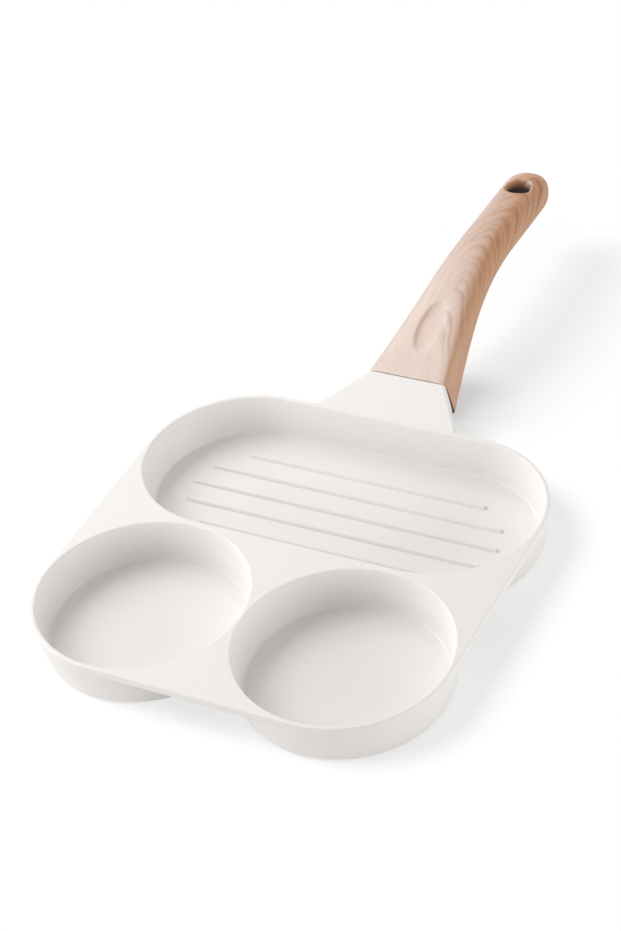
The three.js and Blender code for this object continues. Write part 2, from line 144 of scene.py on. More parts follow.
class CastingSizes(bpy.types.PropertyGroup):
    """Sizes of the casting: its wells, deck, ribs, neck and tang."""

    cup_radius: length("Cup radius", "Radius of an egg cup's mouth", 50)
    cup_land: length("Cup land", "Deck between the egg cups", 2)
    grill_radius: length("Grill radius", "Radius of the grill well's round ends", 49.5)
    grill_straight: length("Grill straight", "Straight side of the grill well", 105)
    row_land: length("Row land", "Deck between the grill well and the egg cups", 3.3)
    well_depth: length("Well depth", "Depth of the wells", 20)
    wall_draft: angle("Wall draft", "Outward lean of the walls", 9)
    floor_round: length("Floor round", "Fillet between wall and floor", 1.4)
    rim_round: length("Rim round", "Rounding of each mouth's edge", 0.8)
    wall: length("Wall", "Thickness of the walls", 2.2)
    floor: length("Floor", "Thickness of the floors", 3.2)
    base_round: length("Base round", "Rounding between wall and underside", 3)
    deck: length("Deck", "Thickness of the deck", 2.6)
    lip_height: length("Lip height", "Height of the turned-down edge", 4)
    lip_width: length("Lip width", "Width of the turned-down edge", 3)
    edge_round: length("Edge round", "Rounding of the lip's edges", 0.7)
    rib_pitch: length("Rib pitch", "Distance from rib to rib", 13.5)
    rib_width: length("Rib width", "Width of a rib at the floor", 3.2)
    rib_height: length("Rib height", "Height of a rib above the floor", 1.4)
    rib_round: length("Rib round", "Rounding of a rib's top edge", 0.7)
    rib_draft: angle("Rib draft", "Inward lean of a rib's sides", 30)
    rib_margin: length("Rib margin", "From the well's mouth to the ribs' ends", 19.8)
    rib_shift: length("Rib shift", "How far the ribs lie towards the egg cups", 2)
    neck_length: length("Neck length", "From the deck's back edge to the handle", 27.5)
    neck_rise: length("Neck rise", "Climb of the neck's top", 5.4)
    neck_root_width: length("Neck root width", "Width where the neck leaves the deck", 78)
    neck_root_thickness: length("Neck root thickness", "Thickness where the neck starts", 15)
    neck_sink: length("Neck sink", "How far the neck runs into the wall", 5)
    neck_round: length("Neck round", "Rounding of the neck's long edges", 2)
    neck_tuck: length("Neck tuck", "How far each side leans in below", 3)
    joint_tuck: length("Joint tuck", "How far each side leans in below at the handle", 1)
    joint_step: length("Joint step", "How far the handle stands out round the neck", 0.5)
    tang_width: length("Tang width", "Width of the tang", 24)
    tang_thickness: length("Tang thickness", "Thickness of the tang", 7)
    tang_length: length("Tang length", "Reach of the tang into the handle", 34)
    tang_rise: length("Tang rise", "Height of the tang above the handle's centre line", 2)
    tang_round: length("Tang round", "Rounding of the tang's edges", 1.5)
    plate_proud: length("Plate proud", "How far the base plates stand below the casting", 0.3)

    @property
    def floor_z(self):
        """Height of the wells' floors."""
        return self.plate_proud + self.floor

    @property
    def rim_z(self):
        """Height of the deck's top."""
        return self.floor_z + self.well_depth

    @property
    def cup_y(self):
        """Where the egg cups' centres lie along the pan."""
        return -(self.grill_radius + self.row_land + self.cup_radius)

    @property
    def back_y(self):
        """Where the deck's back edge lies along the pan."""
        return self.grill_radius + self.wall

    @property
    def wells(self):
        """The egg cups and the grill well."""
        cup_x = self.cup_radius + self.cup_land / 2
        return [
            Well("induction_disc_left", -cup_x, self.cup_y, 0.0, self.cup_radius),
            Well("induction_disc_right", cup_x, self.cup_y, 0.0, self.cup_radius),
            Well("induction_plate_grill", 0.0, 0.0, self.grill_straight, self.grill_radius),
        ]


class HandleSizes(bpy.types.PropertyGroup):
    """Sizes of the handle along its curved centre line."""

    joint_width: length("Joint width", "Width at the neck", 43.2)
    joint_thickness: length("Joint thickness", "Thickness at the neck", 24)
    joint_belly: length("Joint belly", "Extra depth below at the neck", 3)
    joint_slope: angle("Joint slope", "Climb at the neck", 19)
    joint_squareness: amount("Joint squareness", "How square the section is at the neck", 10)
    joint_round: length("Joint round", "Rounding of the end that meets the neck", 0.5)
    seam: length("Seam", "Open line between neck and handle", 0.15)
    full_length: length("Full length", "Length along the centre line", 173.9)
    climb: length("Climb", "Straight climb from the neck", 47.6)
    arch_radius: length("Arch radius", "Radius of the arch over the hand", 166)
    tail_drop: angle("Tail drop", "Fall of the tail", 2)
    taper: length("Taper", "From the neck to the full grip section", 120)
    grip_width: length("Grip width", "Width of the grip", 25)
    grip_thickness: length("Grip thickness", "Thickness of the grip", 20.9)
    grip_squareness: amount("Grip squareness", "How square the section is at the grip", 2.4)
    tip_length: length("Tip length", "Length of the rounded end", 17)
    tip_squareness: amount("Tip squareness", "How blunt the rounded end is", 2.1)
    thumb_reach: length("Thumb reach", "From the neck to the thumb rest's middle", 33)
    thumb_length: length("Thumb length", "Length of the thumb rest", 34)
    thumb_width: length("Thumb width", "Width of the thumb rest", 13.5)
    thumb_depth: length("Thumb depth", "Depth of the thumb rest", 1.2)
    hang_inset: length("Hang inset", "From the tip to the hang hole's centre", 24)
    hang_width: length("Hang width", "Width of the hang hole", 12.6)
    hang_length: length("Hang length", "Length of the hang hole", 14)
    hang_round: length("Hang round", "Rounding of the hang hole's mouths", 1.5)
    fit_gap: length("Fit gap", "Clearance round the tang", 0.3)
    seat: length("Seat", "Wall between the mortise and the washer", 2.5)

    def spine(self, along):
        """The place on the centre line: a straight climb, an arch and a falling tail."""
        arch_length = self.arch_radius * (self.joint_slope + self.tail_drop)
        climb = min(along, self.climb)
        arch = min(max(along - self.climb, 0.0), arch_length)
        tail = max(along - self.climb - arch_length, 0.0)
        slope = self.joint_slope - arch / self.arch_radius
        run = climb * math.cos(self.joint_slope) + tail * math.cos(self.tail_drop)
        run += self.arch_radius * (math.sin(self.joint_slope) - math.sin(slope))
        rise = climb * math.sin(self.joint_slope) - tail * math.sin(self.tail_drop)
        rise += self.arch_radius * (math.cos(slope) - math.cos(self.joint_slope))
        return Matrix.Translation((0.0, run, rise)) @ Matrix.Rotation(slope, 4, "X")

    def section(self, along):
        """Half width, height above and below the centre line, and squareness, eased from joint to grip."""
        ease = (1 - min(along / self.taper, 1)) ** 2
        half_width = (self.grip_width + (self.joint_width - self.grip_width) * ease) / 2
        above = (self.grip_thickness + (self.joint_thickness - self.grip_thickness) * ease) / 2
        squareness = self.grip_squareness + (self.joint_squareness - self.grip_squareness) * ease ** 2
        return half_width, above, above + self.joint_belly * ease, squareness


class PlateSizes(bpy.types.PropertyGroup):
    """Sizes of the steel plates pressed into the base."""

    thickness: length("Thickness", "Thickness of a plate", 1.2)
    margin: length("Margin", "From the edge of the flat underside to the plate", 3)
    gap: length("Gap", "Clearance round a plate in its pocket", 0.3)
    edge: length("Edge", "Rounding of a plate's edges", 0.25)
    hole_radius: length("Hole radius", "Radius of a plate's holes", 2.5)
    hole_pitch: length("Hole pitch", "Distance from hole to hole", 20)
    hole_margin: length("Hole margin", "From a plate's edge to the nearest hole's centre", 5)

    def radius(self, casting, well):
        """The plate's round ends: the flat underside of the well less the margin."""
        depth = casting.rim_z - casting.deck / 2 - casting.plate_proud
        foot = well.radius + casting.wall - depth * math.tan(casting.wall_draft)
        return foot - fillet_reach(casting, casting.base_round) - self.margin


class FastenerSizes(bpy.types.PropertyGroup):
    """Sizes of the screw and its washers."""

    reach: length("Reach", "From the neck to the screw along the handle", 16)
    screw_radius: length("Screw radius", "Radius over the thread", 2.5)
    screw_length: length("Screw length", "Length below the head", 12)
    thread_pitch: length("Thread pitch", "Pitch of the thread", 0.8)
    thread_depth: length("Thread depth", "Depth of the thread", 0.45)
    thread_start: length("Thread start", "Plain shank under the head", 3)
    head_radius: length("Head radius", "Radius of the head", 4.75)
    head_height: length("Head height", "Height of the head", 3.6)
    head_round: length("Head round", "Rounding of the head", 2.2)
    recess_span: length("Recess span", "Span of the cross recess", 5)
    recess_width: length("Recess width", "Width of the cross recess", 1.2)
    recess_depth: length("Recess depth", "Depth of the cross recess", 2)
    washer_bore: length("Washer bore", "Radius of the washers' bore", 2.65)
    washer_radius: length("Washer radius", "Radius of the flat washer", 5)
    washer_thickness: length("Washer thickness", "Thickness of the flat washer", 1)
    lock_radius: length("Lock radius", "Radius of the spring washer", 4.6)
    lock_thickness: length("Lock thickness", "Thickness of the spring washer", 1.2)
    lock_split: angle("Lock split", "Opening of the spring washer", 20)
    lock_lift: length("Lock lift", "Rise of the spring washer's free end", 0.15)
    washer_edge: length("Washer edge", "Rounding of the washers' edges", 0.12)
    bore_clearance: length("Bore clearance", "Room round the washer in its bore", 0.8)

    def stack(self, gap):
        """Heights of the flat washer, the spring washer and the head below the seat, a gap apart."""
        flat = -gap - self.washer_thickness
        lock = flat - gap - self.lock_thickness
        return flat, lock, lock - gap


class Finishes(bpy.types.PropertyGroup):
    """Colours of the finishes."""

    cream: colour("Cream", "Cream coating", (0.83, 0.80, 0.775))
    cream_speck: colour("Cream speck", "Fine specks in the coating", (0.66, 0.62, 0.58))
    wood_pale: colour("Wood pale", "Pale wood towards the neck", (0.74, 0.60, 0.53))
    # used for the warmer tail and, partly as painted shade, for faces that turn right
    wood_warm_and_side_shade: colour("Wood warm", "Warm wood towards the tip, partly painted shade on the right flank", (0.53, 0.28, 0.15))
    # painted shade for faces that turn left
    wood_flank_shade: colour("Wood flank shade", "Painted shade on the left flank", (0.50, 0.40, 0.36))
    wood_line: colour("Wood line", "Growth rings and fibres", (0.36, 0.165, 0.09))
    # painted shade for the dark lower hang hole and the seam at the neck
    hole_and_seam_shade: colour("Hole and seam shade", "Painted shade deep in the hang hole and on the end at the neck", (0.11, 0.085, 0.07))
    base_steel: colour("Base steel", "Turned steel of the base plates", (0.52, 0.53, 0.54))
    fastener_steel: colour("Fastener steel", "Plated steel of the fasteners", (0.60, 0.60, 0.59))
    floor: colour("Floor", "Table", (0.37, 0.37, 0.37))


class StageSettings(bpy.types.PropertyGroup):
    """The camera at the photograph's viewing angle, the lamps and the white table."""

    camera_x: length("Camera X", "Camera to the right of the origin", 429.8)
    camera_y: length("Camera Y", "Camera along the handle from the origin", -735.2)
    camera_z: length("Camera Z", "Camera above the table", 704.3)
    azimuth: angle("Azimuth", "Turn of the camera round the pan", 31.163)
    elevation: angle("Elevation", "Height of the camera above the horizon", 38.172)
    roll: angle("Roll", "Roll of the camera", -7.879)
    lens: bpy.props.FloatProperty(
        name="Lens", description="Focal length on a 36 mm frame", default=88.09,
        subtype="DISTANCE_CAMERA", unit="CAMERA",
    )
    softbox_azimuth: angle("Softbox azimuth", "Turn of the softbox, from the handle's direction", 80)
    softbox_elevation: angle("Softbox elevation", "Height of the softbox above the horizon", 43)
    softbox_distance: length("Softbox distance", "From the pan to the softbox", 1300)
    softbox_width: length("Softbox width", "Width of the softbox", 1800)
    softbox_height: length("Softbox height", "Height of the softbox", 800)
    softbox_power: watts("Softbox power", "Power of the softbox", 15.5)
    reflector_elevation: angle("Reflector elevation", "Height of the reflectors above the horizon", 8)
    reflector_distance: length("Reflector distance", "From the pan to each reflector", 1200)
    reflector_width: length("Reflector width", "Width of each reflector", 1000)
    reflector_height: length("Reflector height", "Height of each reflector", 500)
    side_azimuth: angle("Side azimuth", "Turn of the side reflector, from the handle's direction", 270)
    side_power: watts("Side power", "Power of the side reflector", 7.8)
    front_azimuth: angle("Front azimuth", "Turn of the front reflector, from the handle's direction", 140)
    front_power: watts("Front power", "Power of the front reflector", 6.4)
    pan_shadow_azimuth: angle("Pan shadow azimuth", "Turn of the lamp that shades the pan's side", 114)
    pan_shadow_elevation: angle("Pan shadow elevation", "Height of the lamp that shades the pan's side", 57)
    handle_shadow_azimuth: angle(
        "Handle shadow azimuth", "Turn of the lamp that shades the handle's side", 103,
    )
    handle_shadow_elevation: angle(
        "Handle shadow elevation", "Height of the lamp that shades the handle's side", 43,
    )
    shadow_spread: angle("Shadow spread", "Apparent size of the table's lamps", 32)
    shadow_strength: amount("Shadow strength", "Strength of each of the table's lamps", 2.9)
    fill_strength: amount("Fill strength", "Strength of the light from all round", 0.44)
    table_glow: fraction("Table glow", "Share of plain glow in the table, which lightens the shadow", 0.3)
    floor_size: length("Floor size", "Side of the table", 6000)
    floor_gap: length("Floor gap", "Clearance between the pan and the table", 0.1)

    def glow_strength(self, shade):
        """How bright the table glows, so that with its lit part, of an even shade, it comes out white."""
        steepness = math.sin(self.pan_shadow_elevation) + math.sin(self.handle_shadow_elevation)
        lit = shade * (self.fill_strength + self.shadow_strength * steepness / math.pi)
        return (1 - (1 - self.table_glow) * lit) / self.table_glow


class BreakfastPan(bpy.types.PropertyGroup):
    """All settings of the pan."""

    casting: group_of("Casting", "Sizes of the casting", CastingSizes)
    handle: group_of("Handle", "Sizes of the handle", HandleSizes)
    plates: group_of("Plates", "Sizes of the base plates", PlateSizes)
    fasteners: group_of("Fasteners", "Sizes of the screw and its washers", FastenerSizes)
    finishes: group_of("Finishes", "Colours of the finishes", Finishes)
    stage: group_of("Stage", "Camera, lamps and table", StageSettings)

    @property
    def joint(self):
        """The frame at the joint of neck and handle: Y runs along the handle and Z stands square to it."""
        slope = self.handle.joint_slope
        half = self.handle.joint_thickness / 2
        y = self.casting.back_y + self.casting.neck_length + half * math.sin(slope)
        z = self.casting.rim_z + self.casting.neck_rise - half * math.cos(slope)
        return Matrix.Translation((0.0, y, z)) @ Matrix.Rotation(slope, 4, "X")

    @property
    def seat_height(self):
        """Height of the seat for the washer from the handle's centre line."""
        casting, handle = self.casting, self.handle
        return casting.tang_rise - casting.tang_thickness / 2 - handle.fit_gap - handle.seat

    @property
    def screw_seat(self):
        """The frame of the screw, with its origin on the seat for the washer."""
        return self.joint @ Matrix.Translation((0.0, self.fasteners.reach, self.seat_height))

    def on_handle(self, along):
        """The frame on the handle's centre line at a place along it."""
        place = Matrix.Translation(self.joint.to_translation())
        return place @ self.handle.spine(along)


# Mesh helpers

def fillet_reach(casting, fillet):
    """How far a fillet reaches along the wall and the floor from their corner."""
    return fillet * math.tan((math.pi / 2 - casting.wall_draft) / 2)


def bevel(bm, edges, offset, segments):
    """Rounds the edges."""
    bmesh.ops.bevel(
        bm, geom=edges, offset=offset, offset_type="OFFSET", affect="EDGES",
        segments=segments, profile=0.5, material=-1, clamp_overlap=True,
    )


def edges_at(bm, z):
    """The edges that lie at a height."""
    return [edge for edge in bm.edges if all(abs(vert.co.z - z) < TOUCH for vert in edge.verts)]


def edges_clear_of(bm, faces):
    """The edges that touch none of the faces."""
    return [edge for edge in bm.edges if not set(edge.link_faces) & set(faces)]


def sharp_edges(bm):
    """The edges at which two faces meet sharply."""
    return [edge for edge in bm.edges if edge.calc_face_angle() > SHARP_ANGLE]


def from_centre_line(lengthwise, crosswise, straight):
    """How far a place lies from a centre, or from the straight line through it."""
    past = max(abs(lengthwise) - straight / 2, 0.0)
    return math.hypot(past, crosswise)


def close(bm):
    """Merges doubles and turns the faces outwards."""
    bmesh.ops.remove_doubles(bm, verts=bm.verts, dist=WELD)
    bmesh.ops.recalc_face_normals(bm, faces=bm.faces)


def block(width, depth, height):
    """A square-edged block round the origin."""
    bm = bmesh.new()
    bmesh.ops.create_cube(bm, size=1.0)
    bmesh.ops.scale(bm, vec=(width, depth, height), verts=bm.verts)
    return bm


def drawn_round(straight, low_radius, high_radius, low, high, segments):
    """A round block, or a long one whose round ends are drawn apart by a straight."""
    bm = bmesh.new()
    middle = Matrix.Translation((0.0, 0.0, (low + high) / 2))
    half_step = Matrix.Rotation(math.pi / segments, 4, "Z")  # so that no point lies between the ends
    bmesh.ops.create_cone(
        bm, cap_ends=True, segments=segments, radius1=low_radius, radius2=high_radius,
        depth=high - low, matrix=middle @ half_step,
    )
    for side in (-1, 1):
        half = [vert for vert in bm.verts if vert.co.x * side > 0]
        bmesh.ops.translate(bm, verts=half, vec=(side * straight / 2, 0.0, 0.0))
    return bm


def move(bm, place):
    """Places the whole mesh."""
    bmesh.ops.transform(bm, matrix=place, verts=bm.verts)
    return bm


def piece_from(name, bm):
    """A new object at the origin from a mesh."""
    mesh = bpy.data.meshes.new(name)
    bm.to_mesh(mesh)
    bm.free()
    piece = bpy.data.objects.new(name, mesh)
    bpy.context.scene.collection.objects.link(piece)
    return piece


def combine(piece, operation, *forms):
    """Joins forms to a piece, or cuts them from it, one after the other."""
    for form in forms:
        tool = piece_from("tool", form)
        step = piece.modifiers.new("Combine", "BOOLEAN")
        step.operation = operation
        step.solver = "MANIFOLD"
        step.object = tool
        graph = bpy.context.evaluated_depsgraph_get()
        result = bpy.data.meshes.new_from_object(piece.evaluated_get(graph))
        before = piece.data
        piece.modifiers.clear()
        piece.data = result
        result.name = piece.name
        bpy.data.meshes.remove(before)
        bpy.data.meshes.remove(tool.data)


def edit(piece):
    """A mesh to edit, taken from a piece."""
    bm = bmesh.new()
    bm.from_mesh(piece.data)
    return bm


def put_back(piece, bm):
    """Gives an edited mesh back to its piece."""
    close(bm)
    bm.to_mesh(piece.data)
    bm.free()


def hand_over(piece, node, finish):
    """Finishes a piece: its shading and material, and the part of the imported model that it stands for."""
    piece.data.shade_smooth()
    piece.data.set_sharp_from_angle(angle=SMOOTH_ANGLE)
    even = piece.modifiers.new("Even shading", "WEIGHTED_NORMAL")
    even.mode = "FACE_AREA_WITH_ANGLE"
    even.keep_sharp = True
    piece.data.materials.clear()
    piece.data.materials.append(finish)
    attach(piece, BODY)
    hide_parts(node)


# Forms of the casting

def tub(casting, well, mouth_radius, mouth_z, bottom_z, fillet):
    """A drafted tub with its bottom edge rounded."""
    bottom_radius = mouth_radius - (mouth_z - bottom_z) * math.tan(casting.wall_draft)
    bm = drawn_round(well.straight, bottom_radius, mouth_radius, bottom_z, mouth_z, WELL_SEGMENTS)
    bevel(bm, edges_at(bm, bottom_z), fillet_reach(casting, fillet), FILLET_SEGMENTS)
    return move(bm, well.place)


def outer_tub(casting, well):
    """The outside of a well, ending inside the deck and a touch within its edge."""
    mouth = well.radius + casting.wall - 2 * TOUCH
    top = casting.rim_z - casting.deck / 2
    return tub(casting, well, mouth, top, casting.plate_proud, casting.base_round)


def hollow(casting, well):
    """The hollow of a well, running out past the rim."""
    mouth = well.radius + OVERCUT * math.tan(casting.wall_draft)
    return tub(casting, well, mouth, casting.rim_z + OVERCUT, casting.floor_z, casting.floor_round)


def deck_slab(casting):
    """The flat deck round all wells, with its edges rounded and its lip turned down."""
    bm = bmesh.new()
    low = casting.rim_z - casting.lip_height
    for well in casting.wells:
        for end in (-well.straight / 2, well.straight / 2):
            for z in (low, casting.rim_z):
                bmesh.ops.create_circle(
                    bm, segments=WELL_SEGMENTS, radius=well.radius + casting.wall - TOUCH,
                    matrix=Matrix.Translation((well.x + end, well.y, z)),
                )
    bmesh.ops.remove_doubles(bm, verts=bm.verts, dist=WELD)
    bmesh.ops.convex_hull(bm, input=bm.verts)
    inside = [vert for vert in bm.verts if not vert.link_faces]
    bmesh.ops.delete(bm, geom=inside, context="VERTS")
    loose = [edge for edge in bm.edges if not edge.link_faces]
    bmesh.ops.delete(bm, geom=loose, context="EDGES")
    bmesh.ops.dissolve_limit(bm, angle_limit=FLAT_ANGLE, verts=bm.verts, edges=bm.edges)
    bevel(bm, edges_at(bm, low) + edges_at(bm, casting.rim_z), casting.edge_round, EDGE_SEGMENTS)
    underside = min(bm.faces, key=lambda face: face.calc_center_median().z)
    bmesh.ops.inset_region(
        bm, faces=[underside], thickness=casting.lip_width - casting.edge_round, use_even_offset=True,
    )
    bmesh.ops.translate(bm, verts=underside.verts, vec=(0.0, 0.0, casting.lip_height - casting.deck))
    return bm


def rib_bars(casting):
    """The raised ribs on the grill well's floor, as many as fit at their pitch."""
    reach = casting.grill_radius - casting.rib_margin
    pairs = int(reach / casting.rib_pitch)
    top = casting.floor_z + casting.rib_height
    low = casting.floor_z - casting.floor / 2
    half = casting.rib_width / 2
    lean = math.tan(casting.rib_draft)
    low_half = half + (casting.floor_z - low) * lean
    top_half = half - casting.rib_height * lean
    bars = []
    for row in range(-pairs, pairs + 1):
        offset = row * casting.rib_pitch
        straight = casting.grill_straight + 2 * math.sqrt(reach ** 2 - offset ** 2) - 2 * half
        bar = drawn_round(straight, low_half, top_half, low, top, RIB_SEGMENTS)
        bevel(bar, edges_at(bar, top), casting.rib_round, EDGE_SEGMENTS)
        bars.append(move(bar, Matrix.Translation((0.0, offset - casting.rib_shift, 0.0))))
    return bars


def neck_form(pan):
    """The flared neck: two sections bridged, with rounded long edges and sides that lean in below."""
    casting, handle = pan.casting, pan.handle
    sink, step = casting.neck_sink, casting.joint_step
    top = casting.rim_z - sink * casting.neck_rise / casting.neck_length
    flare = (casting.neck_root_width - handle.joint_width) / casting.neck_length
    root = Matrix.Translation((0.0, casting.back_y - sink, top - casting.neck_root_thickness / 2))
    sections = [
        (root, casting.neck_root_width + sink * flare, casting.neck_root_thickness, casting.neck_tuck),
        (pan.joint, handle.joint_width - 2 * step, handle.joint_thickness - 2 * step, casting.joint_tuck),
    ]
    bm = bmesh.new()
    for place, width, thickness, tuck in sections:
        half, high = width / 2, thickness / 2
        low_half = half - tuck
        corners = [(-low_half, -high), (low_half, -high), (half, high), (-half, high)]
        bm.faces.new([bm.verts.new(place @ Vector((x, 0.0, z))) for x, z in corners])
    ends = list(bm.faces)
    bmesh.ops.bridge_loops(bm, edges=bm.edges)
    bevel(bm, edges_clear_of(bm, ends), casting.neck_round, FILLET_SEGMENTS)
    ends = [face for face in bm.faces if len(face.verts) > 4]
    long_edges = edges_clear_of(bm, ends)
    bmesh.ops.subdivide_edges(bm, edges=long_edges, cuts=NECK_CUTS, use_grid_fill=True)
    close(bm)
    return bm


def tang_bar(pan, start, end, clearance):
    """The tang, or with a clearance the mortise for it, from a start to an end along the handle."""
    casting = pan.casting
    bm = block(casting.tang_width + 2 * clearance, end - start, casting.tang_thickness + 2 * clearance)
    along = [edge for edge in bm.edges if edge.verts[0].co.x == edge.verts[1].co.x]
    along = [edge for edge in along if edge.verts[0].co.z == edge.verts[1].co.z]
    bevel(bm, along, casting.tang_round, EDGE_SEGMENTS)
    return move(bm, pan.joint @ Matrix.Translation((0.0, (start + end) / 2, casting.tang_rise)))


def screw_bore(pan, radius, low, high):
    """A round bore square to the handle at the screw, between two heights from the centre line."""
    bm = drawn_round(0.0, radius, radius, low, high, BORE_SEGMENTS)
    return move(bm, pan.joint @ Matrix.Translation((0.0, pan.fasteners.reach, 0.0)))


def plate_block(casting, plates, well, growth, low, high):
    """The outline of a base plate as a block, grown by a clearance."""
    radius = plates.radius(casting, well) + growth
    return drawn_round(well.straight, radius, radius, low, high, WELL_SEGMENTS)


def soften_rims(casting, bm):
    """Rounds the edge of each well's mouth."""
    rims = []
    for edge in edges_at(bm, casting.rim_z):
        for well in casting.wells:
            spots = [vert.co - Vector((well.x, well.y, 0.0)) for vert in edge.verts]
            reaches = [from_centre_line(spot.x, spot.y, well.straight) for spot in spots]
            if all(abs(reach - well.radius) < TOUCH for reach in reaches):
                rims.append(edge)
    bevel(bm, rims, fillet_reach(casting, casting.rim_round), EDGE_SEGMENTS)


# Forms of the handle

def handle_tube(pan):
    """The handle's outer form: a tube bent along the centre line, with rounded ends and the thumb rest."""
    handle = pan.handle
    rings = JOINT_RINGS + GRIP_RINGS + TIP_RINGS
    bm = bmesh.new()
    bmesh.ops.create_cone(bm, segments=HANDLE_SIDES, radius1=1.0, radius2=1.0, depth=1.0)
    upright = [edge for edge in bm.edges if edge.verts[0].co.z != edge.verts[1].co.z]
    bmesh.ops.subdivide_edges(bm, edges=upright, cuts=rings - 1, use_grid_fill=True)
    for vert in bm.verts:
        ring = round((vert.co.z + 0.5) * rings)
        turn = math.atan2(vert.co.y, vert.co.x)
        vert.co = handle_skin(pan, ring, turn)
    bmesh.ops.remove_doubles(bm, verts=bm.verts, dist=WELD)
    bmesh.ops.edgeloop_fill(bm, edges=[edge for edge in bm.edges if edge.is_boundary])
    close(bm)
    return bm


def handle_ring(handle, ring):
    """How far along a ring of the handle lies, its shrinking towards the tip and its inset at the joint."""
    start = handle.seam + handle.joint_round
    tip_start = handle.full_length - handle.tip_length
    if ring < JOINT_RINGS:
        turn = ring / JOINT_RINGS * math.pi / 2
        return start - handle.joint_round * math.cos(turn), 1.0, handle.joint_round * (1 - math.sin(turn))
    if ring <= JOINT_RINGS + GRIP_RINGS:
        share = (ring - JOINT_RINGS) / GRIP_RINGS
        return start + (tip_start - start) * share, 1.0, 0.0
    reach = math.sin((ring - JOINT_RINGS - GRIP_RINGS) / TIP_RINGS * math.pi / 2)
    shrink = max(1 - reach ** handle.tip_squareness, 0.0) ** (1 / handle.tip_squareness)
    return tip_start + handle.tip_length * reach, shrink, 0.0


def handle_skin(pan, ring, turn):
    """A point on the handle's skin."""
    handle = pan.handle
    along, shrink, inset = handle_ring(handle, ring)
    half_width, above, below, squareness = handle.section(along)
    reach = section_reach(turn, squareness) * shrink
    across = (half_width - inset) * math.cos(turn) * reach
    up = ((above if turn > 0 else below) - inset) * math.sin(turn) * reach
    if up > 0:
        up -= thumb_dip(handle, along, across)
    return pan.on_handle(along) @ Vector((across, 0.0, up))


def section_reach(turn, squareness):
    """How far a rounded section bows out from an ellipse towards a square, in one direction."""
    return (abs(math.cos(turn)) ** squareness + abs(math.sin(turn)) ** squareness) ** (-1 / squareness)


def thumb_dip(handle, along, across):
    """The depth of the thumb rest, an oval dish with a flat middle."""
    lengthwise = (along - handle.thumb_reach) / (handle.thumb_length / 2)
    crosswise = across / (handle.thumb_width / 2)
    return handle.thumb_depth * max(1 - (lengthwise ** 2 + crosswise ** 2) ** 2, 0.0)


def round_mouths(bm, place, straight, radius, rounding):
    """Rebuilds a hole's wall so that both mouths are rounded: the hole was cut wider by the rounding."""
    local = place.inverted()
    wide = radius + rounding

    def on_wall(vert):
        spot = local @ vert.co
        return abs(from_centre_line(spot.y, spot.x, straight) - wide) < TOUCH

    walls = [face for face in bm.faces if all(on_wall(vert) for vert in face.verts)]
    bmesh.ops.delete(bm, geom=walls, context="FACES")
    loops = []
    for side in (-1, 1):
        loop = [edge for edge in bm.edges if edge.is_boundary and (local @ edge.verts[0].co).z * side > 0]
        for step in range(EDGE_SEGMENTS):
            before = step / EDGE_SEGMENTS * math.pi / 2
            after = (step + 1) / EDGE_SEGMENTS * math.pi / 2
            inwards = rounding * (math.sin(after) - math.sin(before))
            deeper = rounding * (math.cos(before) - math.cos(after))
            grown = bmesh.ops.extrude_edge_only(bm, edges=loop)["geom"]
            loop = [part for part in grown if isinstance(part, bmesh.types.BMEdge) and part.is_boundary]
            for vert in {vert for edge in loop for vert in edge.verts}:
                spot = local @ vert.co
                centre = Vector((0.0, min(max(spot.y, -straight / 2), straight / 2), spot.z))
                spot += (centre - spot).normalized() * inwards - Vector((0.0, 0.0, side * deeper))
                vert.co = place @ spot
        loops.extend(loop)
    return loops


# Forms of the fasteners

def washer_ring(bore, radius, thickness, split, lift, rounding):
    """A flat ring round Z from height zero up, open by an angle where it is split."""
    bm = bmesh.new()
    start = Matrix.Rotation(split / 2, 4, "Z")
    corners = [(bore, 0.0), (radius, 0.0), (radius, thickness), (bore, thickness)]
    verts = [bm.verts.new(start @ Vector((x, 0.0, z))) for x, z in corners]
    loop = [bm.edges.new((verts[index - 1], verts[index])) for index in range(len(verts))]
    bmesh.ops.spin(
        bm, geom=verts + loop, axis=(0.0, 0.0, 1.0), dvec=(0.0, 0.0, lift / RING_SEGMENTS),
        angle=2 * math.pi - split, steps=RING_SEGMENTS, use_merge=split == 0,
    )
    open_ends = [edge for edge in bm.edges if edge.is_boundary]
    if open_ends:
        bmesh.ops.edgeloop_fill(bm, edges=open_ends)
    close(bm)
    bevel(bm, sharp_edges(bm), rounding, SMALL_EDGE_SEGMENTS)
    return bm


def thread(sizes):
    """A threaded shank from the plain shank's end to the screw's tip, wound past both and cut off there."""
    spare_turns = 2
    bm = bmesh.new()
    pitch = sizes.thread_pitch
    low, high = sizes.thread_start, sizes.screw_length
    root = sizes.screw_radius - sizes.thread_depth
    turns = math.ceil((high - low) / pitch) + spare_turns
    corners = [(root, 0.0), (sizes.screw_radius, pitch / 2), (root, pitch)]
    verts = [bm.verts.new((x, 0.0, low - spare_turns * pitch + z)) for x, z in corners]
    flanks = [bm.edges.new(pair) for pair in zip(verts, verts[1:])]
    bmesh.ops.spin(
        bm, geom=verts + flanks, axis=(0.0, 0.0, 1.0), dvec=(0.0, 0.0, pitch / THREAD_STEPS),
        angle=turns * 2 * math.pi, steps=turns * THREAD_STEPS,
    )
    bmesh.ops.remove_doubles(bm, verts=bm.verts, dist=WELD)
    for height, direction in ((low - OVERCUT / 2, -1.0), (high, 1.0)):
        bmesh.ops.bisect_plane(
            bm, geom=bm.verts[:] + bm.edges[:] + bm.faces[:], plane_co=(0.0, 0.0, height),
            plane_no=(0.0, 0.0, direction), clear_outer=True,
        )
    bmesh.ops.holes_fill(bm, edges=[edge for edge in bm.edges if edge.is_boundary])
    close(bm)
    return bm


# Finishes

